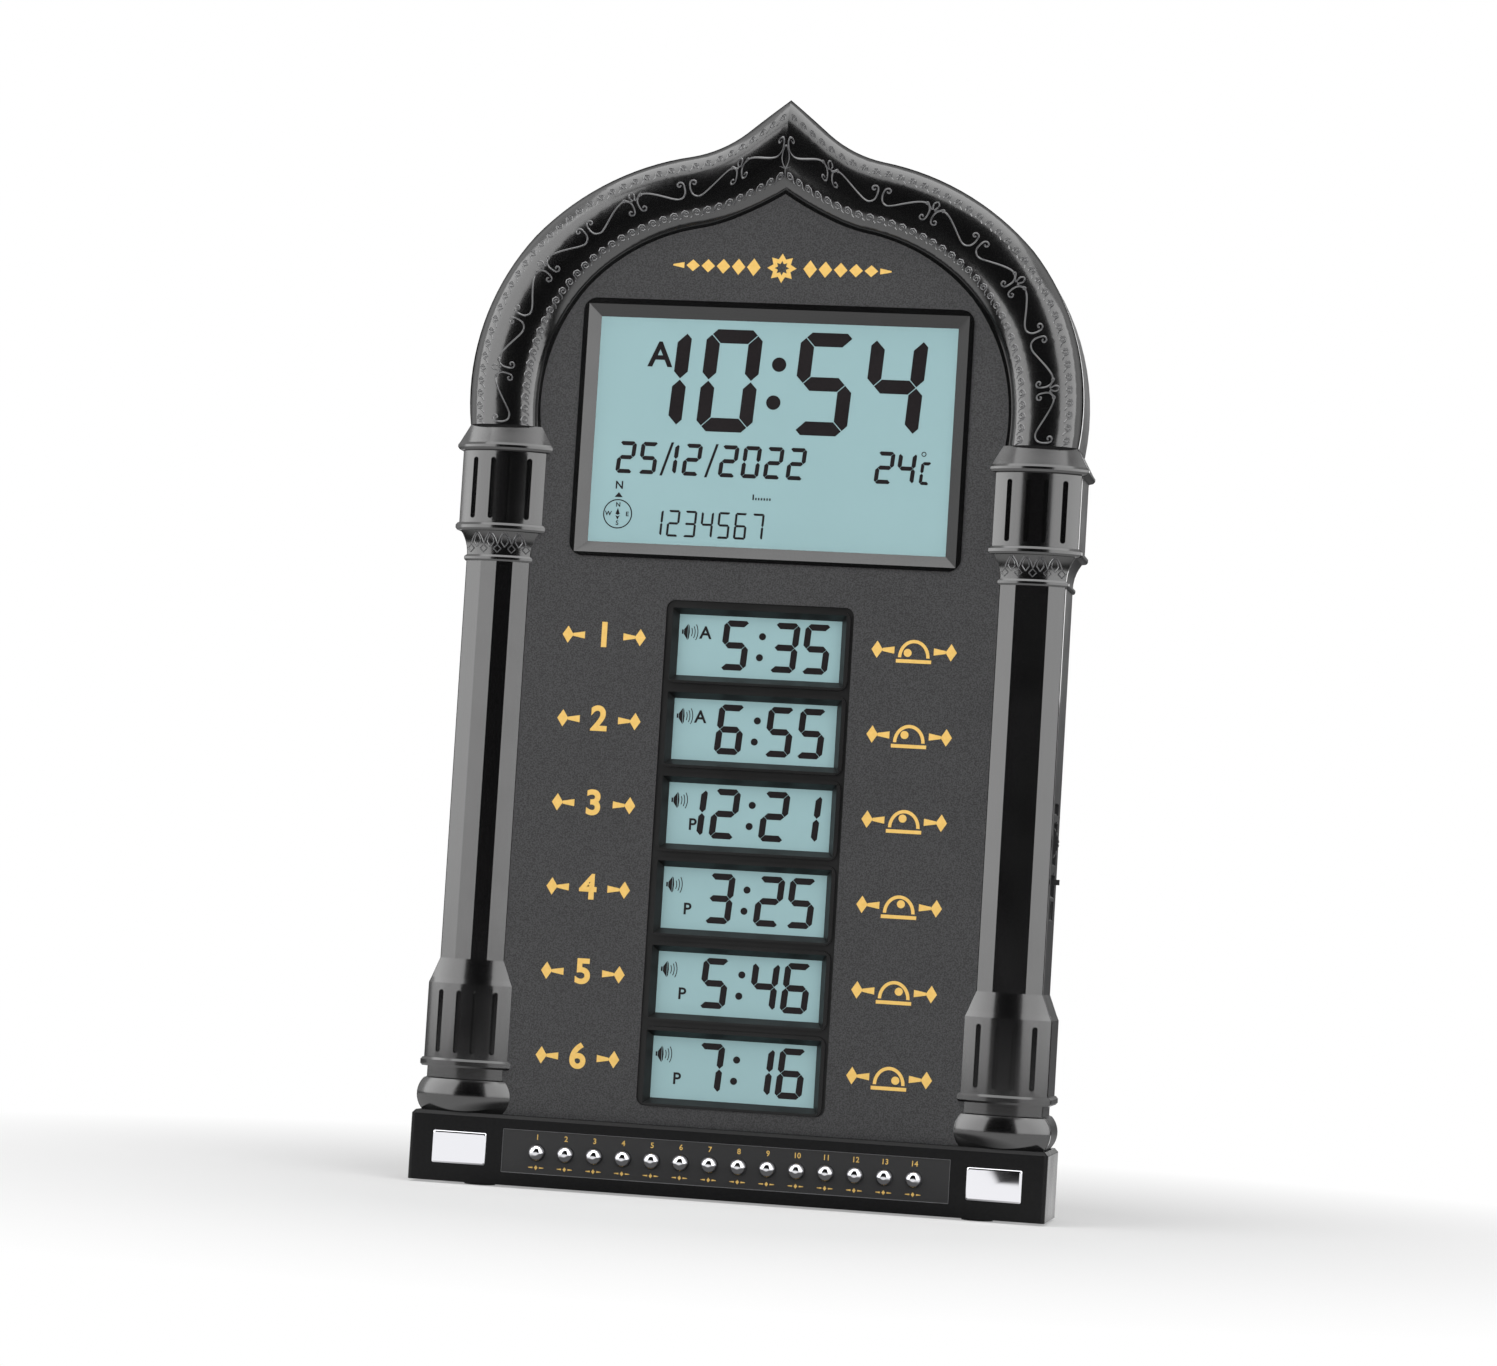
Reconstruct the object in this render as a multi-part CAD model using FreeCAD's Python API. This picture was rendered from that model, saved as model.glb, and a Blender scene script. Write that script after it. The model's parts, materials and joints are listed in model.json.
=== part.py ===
import FreeCAD, Part
import math
import os
from FreeCAD import Vector

os.makedirs("parts", exist_ok=True)

# Table and wall prayer clock: an ogee arch on two columns stands on a low base.
# X runs right as seen from the front, the front faces -Y, Z runs up, and z = 0 is the table.

# Driving dimensions, in millimetres
HEIGHT = 370.0
BASE_WIDTH = 214.0
BASE_DEPTH = 38.0
BASE_TOP = 24.0
BUTTON_PROUD = 2.0
FOOT_PROUD = 0.8
FOOT_SEAT = 0.8
FOOT_RADIUS = 5.2
WALL = 2.5

# Depth planes, with button tips and base back the same distance from y = 0
Y_TIP = -(BASE_DEPTH + BUTTON_PROUD) / 2
Y_BASE_FRONT = Y_TIP + BUTTON_PROUD
Y_BASE_BACK = Y_BASE_FRONT + BASE_DEPTH
Y_PANEL = Y_BASE_FRONT + 5.5
Y_SEAM = Y_PANEL + 2.0
Y_BACK = Y_SEAM + 23.5
Y_BACK_INNER = Y_BACK - 2.0

# Arch: two Bezier spans from the springing over the shoulder to the point
SPRING_Z = 255.8
ARCH_OUTER = [(103.4, SPRING_Z), (109.5, 311.9), (71.7, 342.6), (32.6, 349.8),
              (17.1, 352.7), (10.0, 362.9), (0.0, HEIGHT)]
ARCH_INNER = [(79.0, SPRING_Z), (83.0, 297.7), (56.0, 320.7), (27.3, 325.7),
              (21.2, 326.8), (9.1, 332.1), (0.0, HEIGHT - 32.0)]
ARCS_PER_SPAN = 2
ARCH_RELIEF = 4.6
ARCH_LEAN = 0.1
RELIEF_SHARES = (0.01, 0.955)

# Columns
COLUMN_X = 90.8
SHAFT_HALF = 11.0
SHAFT_BOTTOM = 75.0
SHAFT_TOP = 209.5
TURNING_AXIS = 22.0
TURNING_SWEEP = 100.0
TURNING_STEP = 0.15
DRUM_HALF = 14.4
LOWER_FLUTES = (43.4, 64.4)
UPPER_FLUTES = (223.8, 244.6)
FLUTE_X = (-9.3, -2.9, 2.9, 9.3)
FLUTE_HALF = 0.85
FLUTE_DEPTH = 1.0

# Windows
MAIN_HALF_WIDTH = 66.5
MAIN_BOTTOM = 213.0
MAIN_TOP = 300.7
MAIN_GLASS_HALF = 60.9
MAIN_GLASS_BOTTOM = 218.2
MAIN_GLASS_TOP = 294.8
MAIN_BEZEL_FRONT = Y_PANEL - 0.5
MAIN_GLASS_Y = Y_PANEL + 2.65
LCD_THICKNESS = 2.8
GUIDE_THICKNESS = 3.0
MAIN_BOARD_Y = MAIN_GLASS_Y + LCD_THICKNESS + GUIDE_THICKNESS + 0.45
STACK_HALF_WIDTH = 31.8
STACK_BOTTOM = 30.1
STACK_TOP = 199.4
PRAYER_COUNT = 6
PRAYER_PITCH = 28.3
PRAYER_GLASS_HALF = 27.6
PRAYER_GLASS_HEIGHT = 20.5
PRAYER_TOP = 194.9
PRAYER_RIM_FRONT = Y_PANEL - 0.5
PRAYER_GLASS_Y = Y_PANEL + 2.6
PRAYER_LCD_THICKNESS = 2.0
PRAYER_GUIDE_THICKNESS = 1.5
PRAYER_BOARD_Y = PRAYER_GLASS_Y + PRAYER_LCD_THICKNESS + PRAYER_GUIDE_THICKNESS + 0.1

# Button row
BUTTON_NAMES = ["exit", "dst", "hour_mode", "calendar", "snooze", "alarm_once", "alarm_daily",
                "eqamah", "sound", "azan", "down", "up", "set", "city"]
BUTTON_PITCH = 9.74
BUTTON_Z = 12.24
BUTTON_RADIUS = 2.75
BUTTON_CROWN = 0.9
BUTTON_CROWN_WIDTH = 1.4
BUTTON_CLEARANCE = 0.1
BUTTON_TRAVEL = 0.6
STRIP_HALF = 75.2
STRIP_BOTTOM = 5.1
STRIP_TOP = 19.6
STRIP_DEPTH = 1.6
STRIP_THICKNESS = 1.2
SWITCH_FRONT = -12.5
BUTTON_BOARD_Y = -9.5
BOARD_THICKNESS = 1.5

# Mirror plates at the ends of the base
MIRROR_X = (80.65, 98.98)
MIRROR_Z = (6.75, 17.6)
MIRROR_PROUD = 0.5

# Side controls on the right wall
CONTROL_WALL = COLUMN_X + SHAFT_HALF
POCKET_DEPTH = 1.3
POCKET_HALF_WIDTH = 6.5
POCKETS = [(135.6, 138.5), (118.9, 131.9), (108.2, 114.7), (100.6, 106.0)]
WHEEL_Z = 125.3
WHEEL_RADIUS = 8.0
WHEEL_X = CONTROL_WALL + 1.3 - WHEEL_RADIUS
WHEEL_HALF = 1.5
AXLE_RADIUS = 1.9
AXLE_CLEARANCE = 0.05
LEVER_Z = 112.4
LEVER_TRAVEL = 2.0
LEVER_HALF = 0.9
LEVER_GAP = 0.3
SOCKET_Z = 102.7
SOCKET_RADIUS = 2.8
CONTROL_BOARD_Y = 6.3

# Battery compartment
CELL_RADIUS = 7.25
CELL_LENGTH = 50.5
CELL_Z = (52.2, 67.7, 83.2)
CELL_Y = 3.3
BAY_HALF = 29.8
BAY_BOTTOM = 43.7
BAY_TOP = 91.7
BAY_WALL = 2.5
BAY_FLOOR_Y = -4.0
DOOR_GAP = 0.4
DOOR_OVERLAP = 1.8
DOOR_PIN_Y = Y_BACK_INNER + 1.05
DOOR_PIN_RADIUS = 0.6

# Speaker
SPEAKER_Z = 165.0
SPEAKER_RADIUS = 28.5

# Sides of hidden posts and screws, screw heads, cells and the speaker
POST_SIDES = 8
HEAD_SIDES = 16
CELL_SIDES = 24
SPEAKER_SIDES = 24

# Fastener places
CASE_SCREWS = [(-91, 62), (91, 62), (-91, 235), (91, 235), (-50, 318), (50, 318)]
FOOT_SCREWS = [-COLUMN_X, -25.0, 25.0, COLUMN_X]
FOOT_SCREW_Y = 2.0
BASE_SCREWS = [(-98, -10), (98, -10), (-98, 12), (98, 12)]
BOARD_POSTS = [(-64.2, 216), (64.2, 216), (-64.2, 298), (64.2, 298)]
PRAYER_POSTS = [PRAYER_TOP + 3.9 - PRAYER_PITCH * row for row in (1, 3, 5)]
HANG_Z = 338.0


def box(x0, x1, y0, y1, z0, z1):
    return Part.makeBox(x1 - x0, y1 - y0, z1 - z0, Vector(x0, y0, z0))


def rod_x(radius, x0, x1, y, z):
    return Part.makeCylinder(radius, x1 - x0, Vector(x0, y, z), Vector(1, 0, 0))


def rod_y(radius, x, z, y0, y1):
    return Part.makeCylinder(radius, y1 - y0, Vector(x, y0, z), Vector(0, 1, 0))


def rod_z(radius, x, y, z0, z1):
    return Part.makeCylinder(radius, z1 - z0, Vector(x, y, z0), Vector(0, 0, 1))


def ring(radius, sides):
    """Corners of a closed regular polygon, as pairs."""
    turns = [2 * math.pi * (i + 0.5) / sides for i in range(sides)]
    corner_list = [(radius * math.cos(t), radius * math.sin(t)) for t in turns]
    return corner_list + corner_list[:1]


def post_x(radius, x0, x1, y, z, sides):
    points = [Vector(x0, y + a, z + b) for a, b in ring(radius, sides)]
    return Part.Face(Part.makePolygon(points)).extrude(Vector(x1 - x0, 0, 0))


def post_y(radius, x, z, y0, y1, sides=POST_SIDES):
    points = [Vector(x + a, y0, z + b) for a, b in ring(radius, sides)]
    return Part.Face(Part.makePolygon(points)).extrude(Vector(0, y1 - y0, 0))


def post_z(radius, x, y, z0, z1, sides=POST_SIDES):
    points = [Vector(x + a, y + b, z0) for a, b in ring(radius, sides)]
    return Part.Face(Part.makePolygon(points)).extrude(Vector(0, 0, z1 - z0))


def frustum(front, back):
    """Solid with flat sides between two closed polygons that have matching corners."""
    sides = [Part.Face(Part.makePolygon([front[i], front[i + 1], back[i + 1], back[i], front[i]]))
             for i in range(len(front) - 1)]
    caps = [Part.Face(Part.makePolygon(front)), Part.Face(Part.makePolygon(back))]
    shell = Part.makeShell(sides + caps)
    shell.sewShape()
    solid = Part.makeSolid(shell)
    if solid.Volume < 0:
        solid.reverse()
    return solid


def taper_y(radius_0, radius_1, z, y0, y1):
    """Many-sided cone about the speaker's axis."""
    return frustum([Vector(a, y0, z + b) for a, b in ring(radius_0, SPEAKER_SIDES)],
                   [Vector(a, y1, z + b) for a, b in ring(radius_1, SPEAKER_SIDES)])


def mirrored(shape):
    return shape.mirror(Vector(0, 0, 0), Vector(1, 0, 0))


def both_sides(shape):
    return shape.fuse(mirrored(shape)).removeSplitter()


def join(shapes):
    return shapes[0].multiFuse(shapes[1:]).removeSplitter()


def line(a, b):
    return Part.LineSegment(a, b).toShape()


def arc(a, b, c):
    return Part.Arc(a, b, c).toShape()


def rounded_rectangle(half, z0, z1, radius, y, x=0.0):
    """Closed wire of a rectangle with round corners, in the plane at y."""
    x0, x1 = x - half, x + half
    cut = radius * (1 - math.sqrt(0.5))
    v = lambda px, pz: Vector(px, y, pz)
    edges = [
        line(v(x0 + radius, z0), v(x1 - radius, z0)),
        arc(v(x1 - radius, z0), v(x1 - cut, z0 + cut), v(x1, z0 + radius)),
        line(v(x1, z0 + radius), v(x1, z1 - radius)),
        arc(v(x1, z1 - radius), v(x1 - cut, z1 - cut), v(x1 - radius, z1)),
        line(v(x1 - radius, z1), v(x0 + radius, z1)),
        arc(v(x0 + radius, z1), v(x0 + cut, z1 - cut), v(x0, z1 - radius)),
        line(v(x0, z1 - radius), v(x0, z0 + radius)),
        arc(v(x0, z0 + radius), v(x0 + cut, z0 + cut), v(x0 + radius, z0)),
    ]
    return Part.Wire(edges)


def slab(wire, depth):
    return Part.Face(wire).extrude(Vector(0, depth, 0))


def window_cut(half, z0, z1, margin, y_front, y_back):
    """Opening with square corners that narrows from the front of a bezel to the glass."""
    front = corners(half + margin, z0 - margin, z1 + margin)
    return frustum([Vector(x, y_front, z) for x, z in front],
                   [Vector(x, y_back, z) for x, z in corners(half, z0, z1)])


def corners(half, z0, z1):
    return [(-half, z0), (half, z0), (half, z1), (-half, z1), (-half, z0)]


def bezier(points, y):
    curve = Part.BezierCurve()
    curve.setPoles([Vector(x, y, z) for x, z in points])
    return curve.toShape()


def arch_poles(share):
    """Poles of the line that lies this share of the way from the outer to the inner edge."""
    return [(a[0] + (b[0] - a[0]) * share, a[1] + (b[1] - a[1]) * share)
            for a, b in zip(ARCH_OUTER, ARCH_INNER)]


def arch_point(poles, place, y):
    """Point on a two-span Bezier line; place runs from 0 at the springing to 2 at the apex."""
    first, t = (0, place) if place <= 1 else (3, place - 1)
    weights = [(1 - t) ** 3, 3 * t * (1 - t) ** 2, 3 * t ** 2 * (1 - t), t ** 3]
    span = poles[first:first + 4]
    return Vector(sum(w * x for w, (x, z) in zip(weights, span)), y,
                  sum(w * z for w, (x, z) in zip(weights, span)))


def arch_edges(share, y):
    """Arcs that follow one of the arch's lines, each through its two ends and its middle."""
    poles = arch_poles(share)
    points = [arch_point(poles, i / (2 * ARCS_PER_SPAN), y) for i in range(4 * ARCS_PER_SPAN + 1)]
    return [arc(*points[i:i + 3]) for i in range(0, 4 * ARCS_PER_SPAN, 2)]


def arch_band(outer_share, inner_share, y_front, y_back):
    """The arch between two of its lines, both halves, as one solid."""
    outer, inner = arch_poles(outer_share), arch_poles(inner_share)
    point = lambda pole: Vector(pole[0], y_back, pole[1])
    edges = arch_edges(outer_share, y_back) + arch_edges(inner_share, y_back)
    edges += [line(point(outer[0]), point(inner[0])), line(point(outer[-1]), point(inner[-1]))]
    half = Part.Face(Part.Wire(Part.__sortEdges__(edges))).extrude(Vector(0, y_front - y_back, 0))
    return both_sides(half)


def arch_slab(share, bottom, side, y_front, y_back):
    """Filled arch shape with straight sides at side down to bottom, both halves."""
    poles = arch_poles(share)
    point = lambda x, z: Vector(x, y_back, z)
    edges = arch_edges(share, y_back)
    edges.append(line(point(*poles[-1]), point(0, bottom)))
    edges.append(line(point(0, bottom), point(side, bottom)))
    edges.append(line(point(side, bottom), point(side, SPRING_Z)))
    if abs(side - poles[0][0]) > 0.01:
        edges.append(line(point(side, SPRING_Z), point(*poles[0])))
    half = Part.Face(Part.Wire(Part.__sortEdges__(edges))).extrude(Vector(0, y_front - y_back, 0))
    return both_sides(half)


def silhouette(half):
    return COLUMN_X + half


def turning_radius(half):
    """Radius of a point that shows this far from the column's middle, less a fine step."""
    return math.hypot(half - TURNING_STEP, TURNING_AXIS)


def foot_profile(reach, y):
    """Edges of the foot, from the base up to the shaft: bulb, neck, ring, drum and shoulder."""
    v = lambda half, z: Vector(reach(half), y, z)
    return [
        arc(v(14.0, BASE_TOP), v(16.1, 29.3), v(14.0, 34.6)),
        line(v(14.0, 34.6), v(13.0, 35.0)),
        line(v(13.0, 35.0), v(13.0, 38.6)),
        line(v(13.0, 38.6), v(14.9, 38.6)),
        line(v(14.9, 38.6), v(15.6, 39.3)),
        line(v(15.6, 39.3), v(15.6, 40.7)),
        line(v(15.6, 40.7), v(14.9, 41.5)),
        line(v(14.9, 41.5), v(DRUM_HALF, 41.6)),
        line(v(DRUM_HALF, 41.6), v(DRUM_HALF, 66.6)),
        line(v(DRUM_HALF, 66.6), v(13.6, 68.4)),
        line(v(13.6, 68.4), v(SHAFT_HALF, SHAFT_BOTTOM)),
    ]


def capital_profile(reach, y):
    """Edges of the capital, from the shaft up to the arch: rings, neck, drum and collar."""
    v = lambda half, z: Vector(reach(half), y, z)
    return [
        line(v(SHAFT_HALF, SHAFT_TOP), v(11.5, SHAFT_TOP)),
        line(v(11.5, SHAFT_TOP), v(11.9, 210.1)),
        line(v(11.9, 210.1), v(11.9, 210.9)),
        line(v(11.9, 210.9), v(11.0, 211.6)),
        arc(v(11.0, 211.6), v(11.6, 215.6), v(13.6, 219.6)),
        line(v(13.6, 219.6), v(15.0, 219.8)),
        line(v(15.0, 219.8), v(15.6, 220.5)),
        line(v(15.6, 220.5), v(15.6, 221.5)),
        line(v(15.6, 221.5), v(14.9, 222.3)),
        line(v(14.9, 222.3), v(DRUM_HALF, 222.4)),
        line(v(DRUM_HALF, 222.4), v(DRUM_HALF, 246.8)),
        line(v(DRUM_HALF, 246.8), v(15.9, 247.2)),
        line(v(15.9, 247.2), v(16.5, 248.0)),
        line(v(16.5, 248.0), v(16.5, 248.8)),
        line(v(16.5, 248.8), v(15.9, 249.6)),
        line(v(15.9, 249.6), v(12.4, SPRING_Z)),
    ]


def turned_relief(edges):
    """The part of a turning that stands in front of the panel plane."""
    start, end = edges[0].Vertexes[0].Point, edges[-1].Vertexes[-1].Point
    low, high = Vector(TURNING_AXIS - 1, 0, start.z), Vector(TURNING_AXIS - 1, 0, end.z)
    closing = [line(end, high), line(high, low), line(low, start)]
    face = Part.Face(Part.Wire(Part.__sortEdges__(edges + closing)))
    face.rotate(Vector(0, 0, 0), Vector(0, 0, 1), -90 - TURNING_SWEEP / 2)
    turning = face.revolve(Vector(0, 0, 0), Vector(0, 0, 1), TURNING_SWEEP)
    turning.translate(Vector(COLUMN_X, Y_PANEL + TURNING_AXIS, 0))
    front = box(COLUMN_X - 20, COLUMN_X + 20, Y_PANEL - 10, Y_PANEL, start.z, end.z)
    return turning.common(front)


def flute(offset, low, high):
    """Slot with round ends, cut straight back into a drum."""
    surface = Y_PANEL + TURNING_AXIS - math.sqrt(turning_radius(DRUM_HALF) ** 2 - offset ** 2)
    x, y = COLUMN_X + offset, surface + FLUTE_DEPTH
    left, right = x - FLUTE_HALF, x + FLUTE_HALF
    bottom, top = low + FLUTE_HALF, high - FLUTE_HALF
    edges = [
        line(Vector(left, y, bottom), Vector(left, y, top)),
        arc(Vector(left, y, top), Vector(x, y, high), Vector(right, y, top)),
        line(Vector(right, y, top), Vector(right, y, bottom)),
        arc(Vector(right, y, bottom), Vector(x, y, low), Vector(left, y, bottom)),
    ]
    return slab(Part.Wire(edges), -FLUTE_DEPTH - 2)


def side_outline(y):
    """Right edge of the case below the arch: the column's silhouette from the base up."""
    edges = foot_profile(silhouette, y)
    edges.append(line(Vector(silhouette(SHAFT_HALF), y, SHAFT_BOTTOM),
                      Vector(silhouette(SHAFT_HALF), y, SHAFT_TOP)))
    edges += capital_profile(silhouette, y)
    return edges


def column():
    """Right column: a flat back slab with turned foot and capital and a faceted shaft."""
    edges = side_outline(Y_SEAM)
    inner = COLUMN_X - SHAFT_HALF
    bottom, top = edges[0].Vertexes[0].Point, edges[-1].Vertexes[-1].Point
    low_inner, high_inner = Vector(inner, Y_SEAM, BASE_TOP), Vector(inner, Y_SEAM, SPRING_Z)
    closing = [line(top, high_inner), line(high_inner, low_inner), line(low_inner, bottom)]
    face = Part.Face(Part.Wire(Part.__sortEdges__(edges + closing)))
    back = face.extrude(Vector(0, Y_PANEL - Y_SEAM, 0))

    foot = turned_relief(foot_profile(turning_radius, 0))
    capital = turned_relief(capital_profile(turning_radius, 0))
    foot = foot.cut(Part.makeCompound([flute(x, *LOWER_FLUTES) for x in FLUTE_X]))
    capital = capital.cut(Part.makeCompound([flute(x, *UPPER_FLUTES) for x in FLUTE_X]))

    radius = turning_radius(SHAFT_HALF)
    points = []
    for step in range(-2, 3):
        x = SHAFT_HALF * step / 2
        y = Y_PANEL + TURNING_AXIS - math.sqrt(radius ** 2 - x ** 2)
        points.append(Vector(COLUMN_X + x, y, SHAFT_BOTTOM))
    shaft = Part.Face(Part.makePolygon(points + points[:1])).extrude(
        Vector(0, 0, SHAFT_TOP - SHAFT_BOTTOM))
    return join([back, foot, capital, shaft])


def section_poles():
    """Share of the way across the arch, and depth, of each pole of its half-round section."""
    crown = Y_PANEL - ARCH_RELIEF / 0.75
    low, high = RELIEF_SHARES
    return [(low, Y_PANEL), (low + ARCH_LEAN, crown), (high - ARCH_LEAN, crown), (high, Y_PANEL)]


def arch_relief_patch(first):
    """Bezier surface of one span: along the arch as its lines run, and half round across."""
    surface = Part.BezierSurface()
    surface.increase(3, 3)
    for across, (share, y) in enumerate(section_poles(), 1):
        for along, (x, z) in enumerate(arch_poles(share)[first:first + 4], 1):
            surface.setPole(along, across, Vector(x, y, z))
    return surface.toShape()


def arch():
    """Round-fronted moulding on a flat back, each half closed by its two end faces."""
    patches = [arch_relief_patch(first) for first in (0, 3)]
    rim = [bezier(arch_poles(share)[first:first + 4], Y_PANEL)
           for share in RELIEF_SHARES for first in (0, 3)]
    ends = []
    for place in (0, -1):
        curve = Part.BezierCurve()
        curve.setPoles([Vector(arch_poles(share)[place][0], y, arch_poles(share)[place][1])
                        for share, y in section_poles()])
        chord = line(curve.getPole(1), curve.getPole(4))
        ends.append(Part.Face(Part.Wire([curve.toShape(), chord])))
        rim.append(chord)
    floor = Part.Face(Part.Wire(Part.__sortEdges__(rim)))
    shell = Part.makeShell(patches + ends + [floor])
    shell.sewShape()
    relief = Part.makeSolid(shell)
    if relief.Volume < 0:
        relief.reverse()
    back = arch_band(0.0, 1.0, Y_PANEL, Y_SEAM)
    return back.multiFuse([relief, mirrored(relief)])


def panel():
    plate = arch_slab(1.0, BASE_TOP, COLUMN_X - SHAFT_HALF, Y_PANEL, Y_SEAM)
    main = slab(rounded_rectangle(MAIN_HALF_WIDTH, MAIN_BOTTOM, MAIN_TOP, 4.5, Y_PANEL - 1), 5)
    stack = slab(rounded_rectangle(STACK_HALF_WIDTH, STACK_BOTTOM, STACK_TOP, 3.0, Y_PANEL - 1), 5)
    return plate.cut(main).cut(stack)


def main_bezel():
    wire = rounded_rectangle(MAIN_HALF_WIDTH, MAIN_BOTTOM, MAIN_TOP, 4.5, MAIN_BEZEL_FRONT)
    body = slab(wire, MAIN_GLASS_Y - MAIN_BEZEL_FRONT)
    body = body.cut(window_cut(MAIN_GLASS_HALF, MAIN_GLASS_BOTTOM, MAIN_GLASS_TOP, 3.9,
                               MAIN_BEZEL_FRONT, MAIN_GLASS_Y))
    posts = [post_y(1.8, x, z, MAIN_GLASS_Y, MAIN_BOARD_Y) for x, z in BOARD_POSTS]
    holes = [post_y(0.9, x, z, MAIN_GLASS_Y + 1.9, MAIN_BOARD_Y) for x, z in BOARD_POSTS]
    return join([body] + posts).cut(Part.makeCompound(holes))


def prayer_rows():
    """Top of the glass of each prayer-time window, from the top row down."""
    return [PRAYER_TOP - PRAYER_PITCH * row for row in range(PRAYER_COUNT)]


def prayer_frame():
    ground = PRAYER_RIM_FRONT + 1.0
    shapes = [slab(rounded_rectangle(STACK_HALF_WIDTH, STACK_BOTTOM, STACK_TOP, 3.0, ground),
                   PRAYER_GLASS_Y - ground)]
    cuts = []
    for top in prayer_rows():
        bottom = top - PRAYER_GLASS_HEIGHT
        rim = rounded_rectangle(PRAYER_GLASS_HALF + 3.2, bottom - 2.7, top + 3.1, 3.0,
                                PRAYER_RIM_FRONT)
        shapes.append(slab(rim, ground - PRAYER_RIM_FRONT))
        cuts.append(window_cut(PRAYER_GLASS_HALF, bottom, top, 1.9,
                               PRAYER_RIM_FRONT, PRAYER_GLASS_Y))
    posts = [post_y(1.0, x, z, PRAYER_GLASS_Y, PRAYER_BOARD_Y)
             for z in PRAYER_POSTS for x in (-30.6, 30.6)]
    return join(shapes + posts).cut(Part.makeCompound(cuts))


def prayer_lcd(top):
    return box(-29.2, 29.2, PRAYER_GLASS_Y, PRAYER_GLASS_Y + PRAYER_LCD_THICKNESS,
               top - PRAYER_GLASS_HEIGHT - 1.6, top + 1.6)


def main_light_guide():
    front = MAIN_GLASS_Y + LCD_THICKNESS
    return box(-61.0, 61.0, front, front + GUIDE_THICKNESS, 218.2, 294.8)


def light_guides():
    front = PRAYER_GLASS_Y + PRAYER_LCD_THICKNESS
    return Part.makeCompound([
        box(-28.6, 28.6, front, front + PRAYER_GUIDE_THICKNESS,
            top - PRAYER_GLASS_HEIGHT + 1.2, top + 1.2)
        for top in prayer_rows()])


def connector_strips():
    """Elastomer strips that join the edge of each display glass to its board."""
    strips = [box(-55, 55, MAIN_GLASS_Y + LCD_THICKNESS, MAIN_BOARD_Y, z, z + 1.8)
              for z in (216.0, 295.2)]
    strips += [box(-20, 20, PRAYER_GLASS_Y + PRAYER_LCD_THICKNESS, PRAYER_BOARD_Y, z, z + 1.4)
               for z in (top - PRAYER_GLASS_HEIGHT - 1.2 for top in prayer_rows())]
    return Part.makeCompound(strips)


def main_board():
    board = box(-66.2, 66.2, MAIN_BOARD_Y, MAIN_BOARD_Y + BOARD_THICKNESS, 208, 301)
    holes = [post_y(1.0, x, z, MAIN_BOARD_Y, MAIN_BOARD_Y + BOARD_THICKNESS)
             for x, z in BOARD_POSTS]
    return board.cut(Part.makeCompound(holes))


def prayer_board():
    return box(-31.6, 31.6, PRAYER_BOARD_Y, PRAYER_BOARD_Y + 1.2, 32.0, 198.0)


def controller_chips():
    back = MAIN_BOARD_Y + BOARD_THICKNESS
    return Part.makeCompound([
        box(-12, 4, back, back + 1.6, 244, 260),
        box(18, 30, back, back + 1.4, 268, 276),
        box(22, 32, back, back + 2.4, 238, 241.5),
        post_y(4.0, 44, 256, back, back + 6.0, HEAD_SIDES),
        post_y(4.0, 44, 244, back, back + 6.0, HEAD_SIDES)])


def board_screws():
    """Pan-head screws that hold the main board to the bezel posts."""
    back = MAIN_BOARD_Y + BOARD_THICKNESS
    screws = [post_y(0.9, x, z, back - 5.0, back).fuse(post_y(2.0, x, z, back, back + 1.3))
              for x, z in BOARD_POSTS]
    return Part.makeCompound(screws)


def boss(x, z, hole):
    """Screw boss on the back wall, with its hole through the wall."""
    post = post_y(3.5, x, z, Y_SEAM + 2.0, Y_BACK_INNER)
    recess = post_y(3.0, x, z, Y_BACK - 1.2, Y_BACK, HEAD_SIDES)
    return post, post_y(hole, x, z, Y_SEAM, Y_BACK).fuse(recess)


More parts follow.
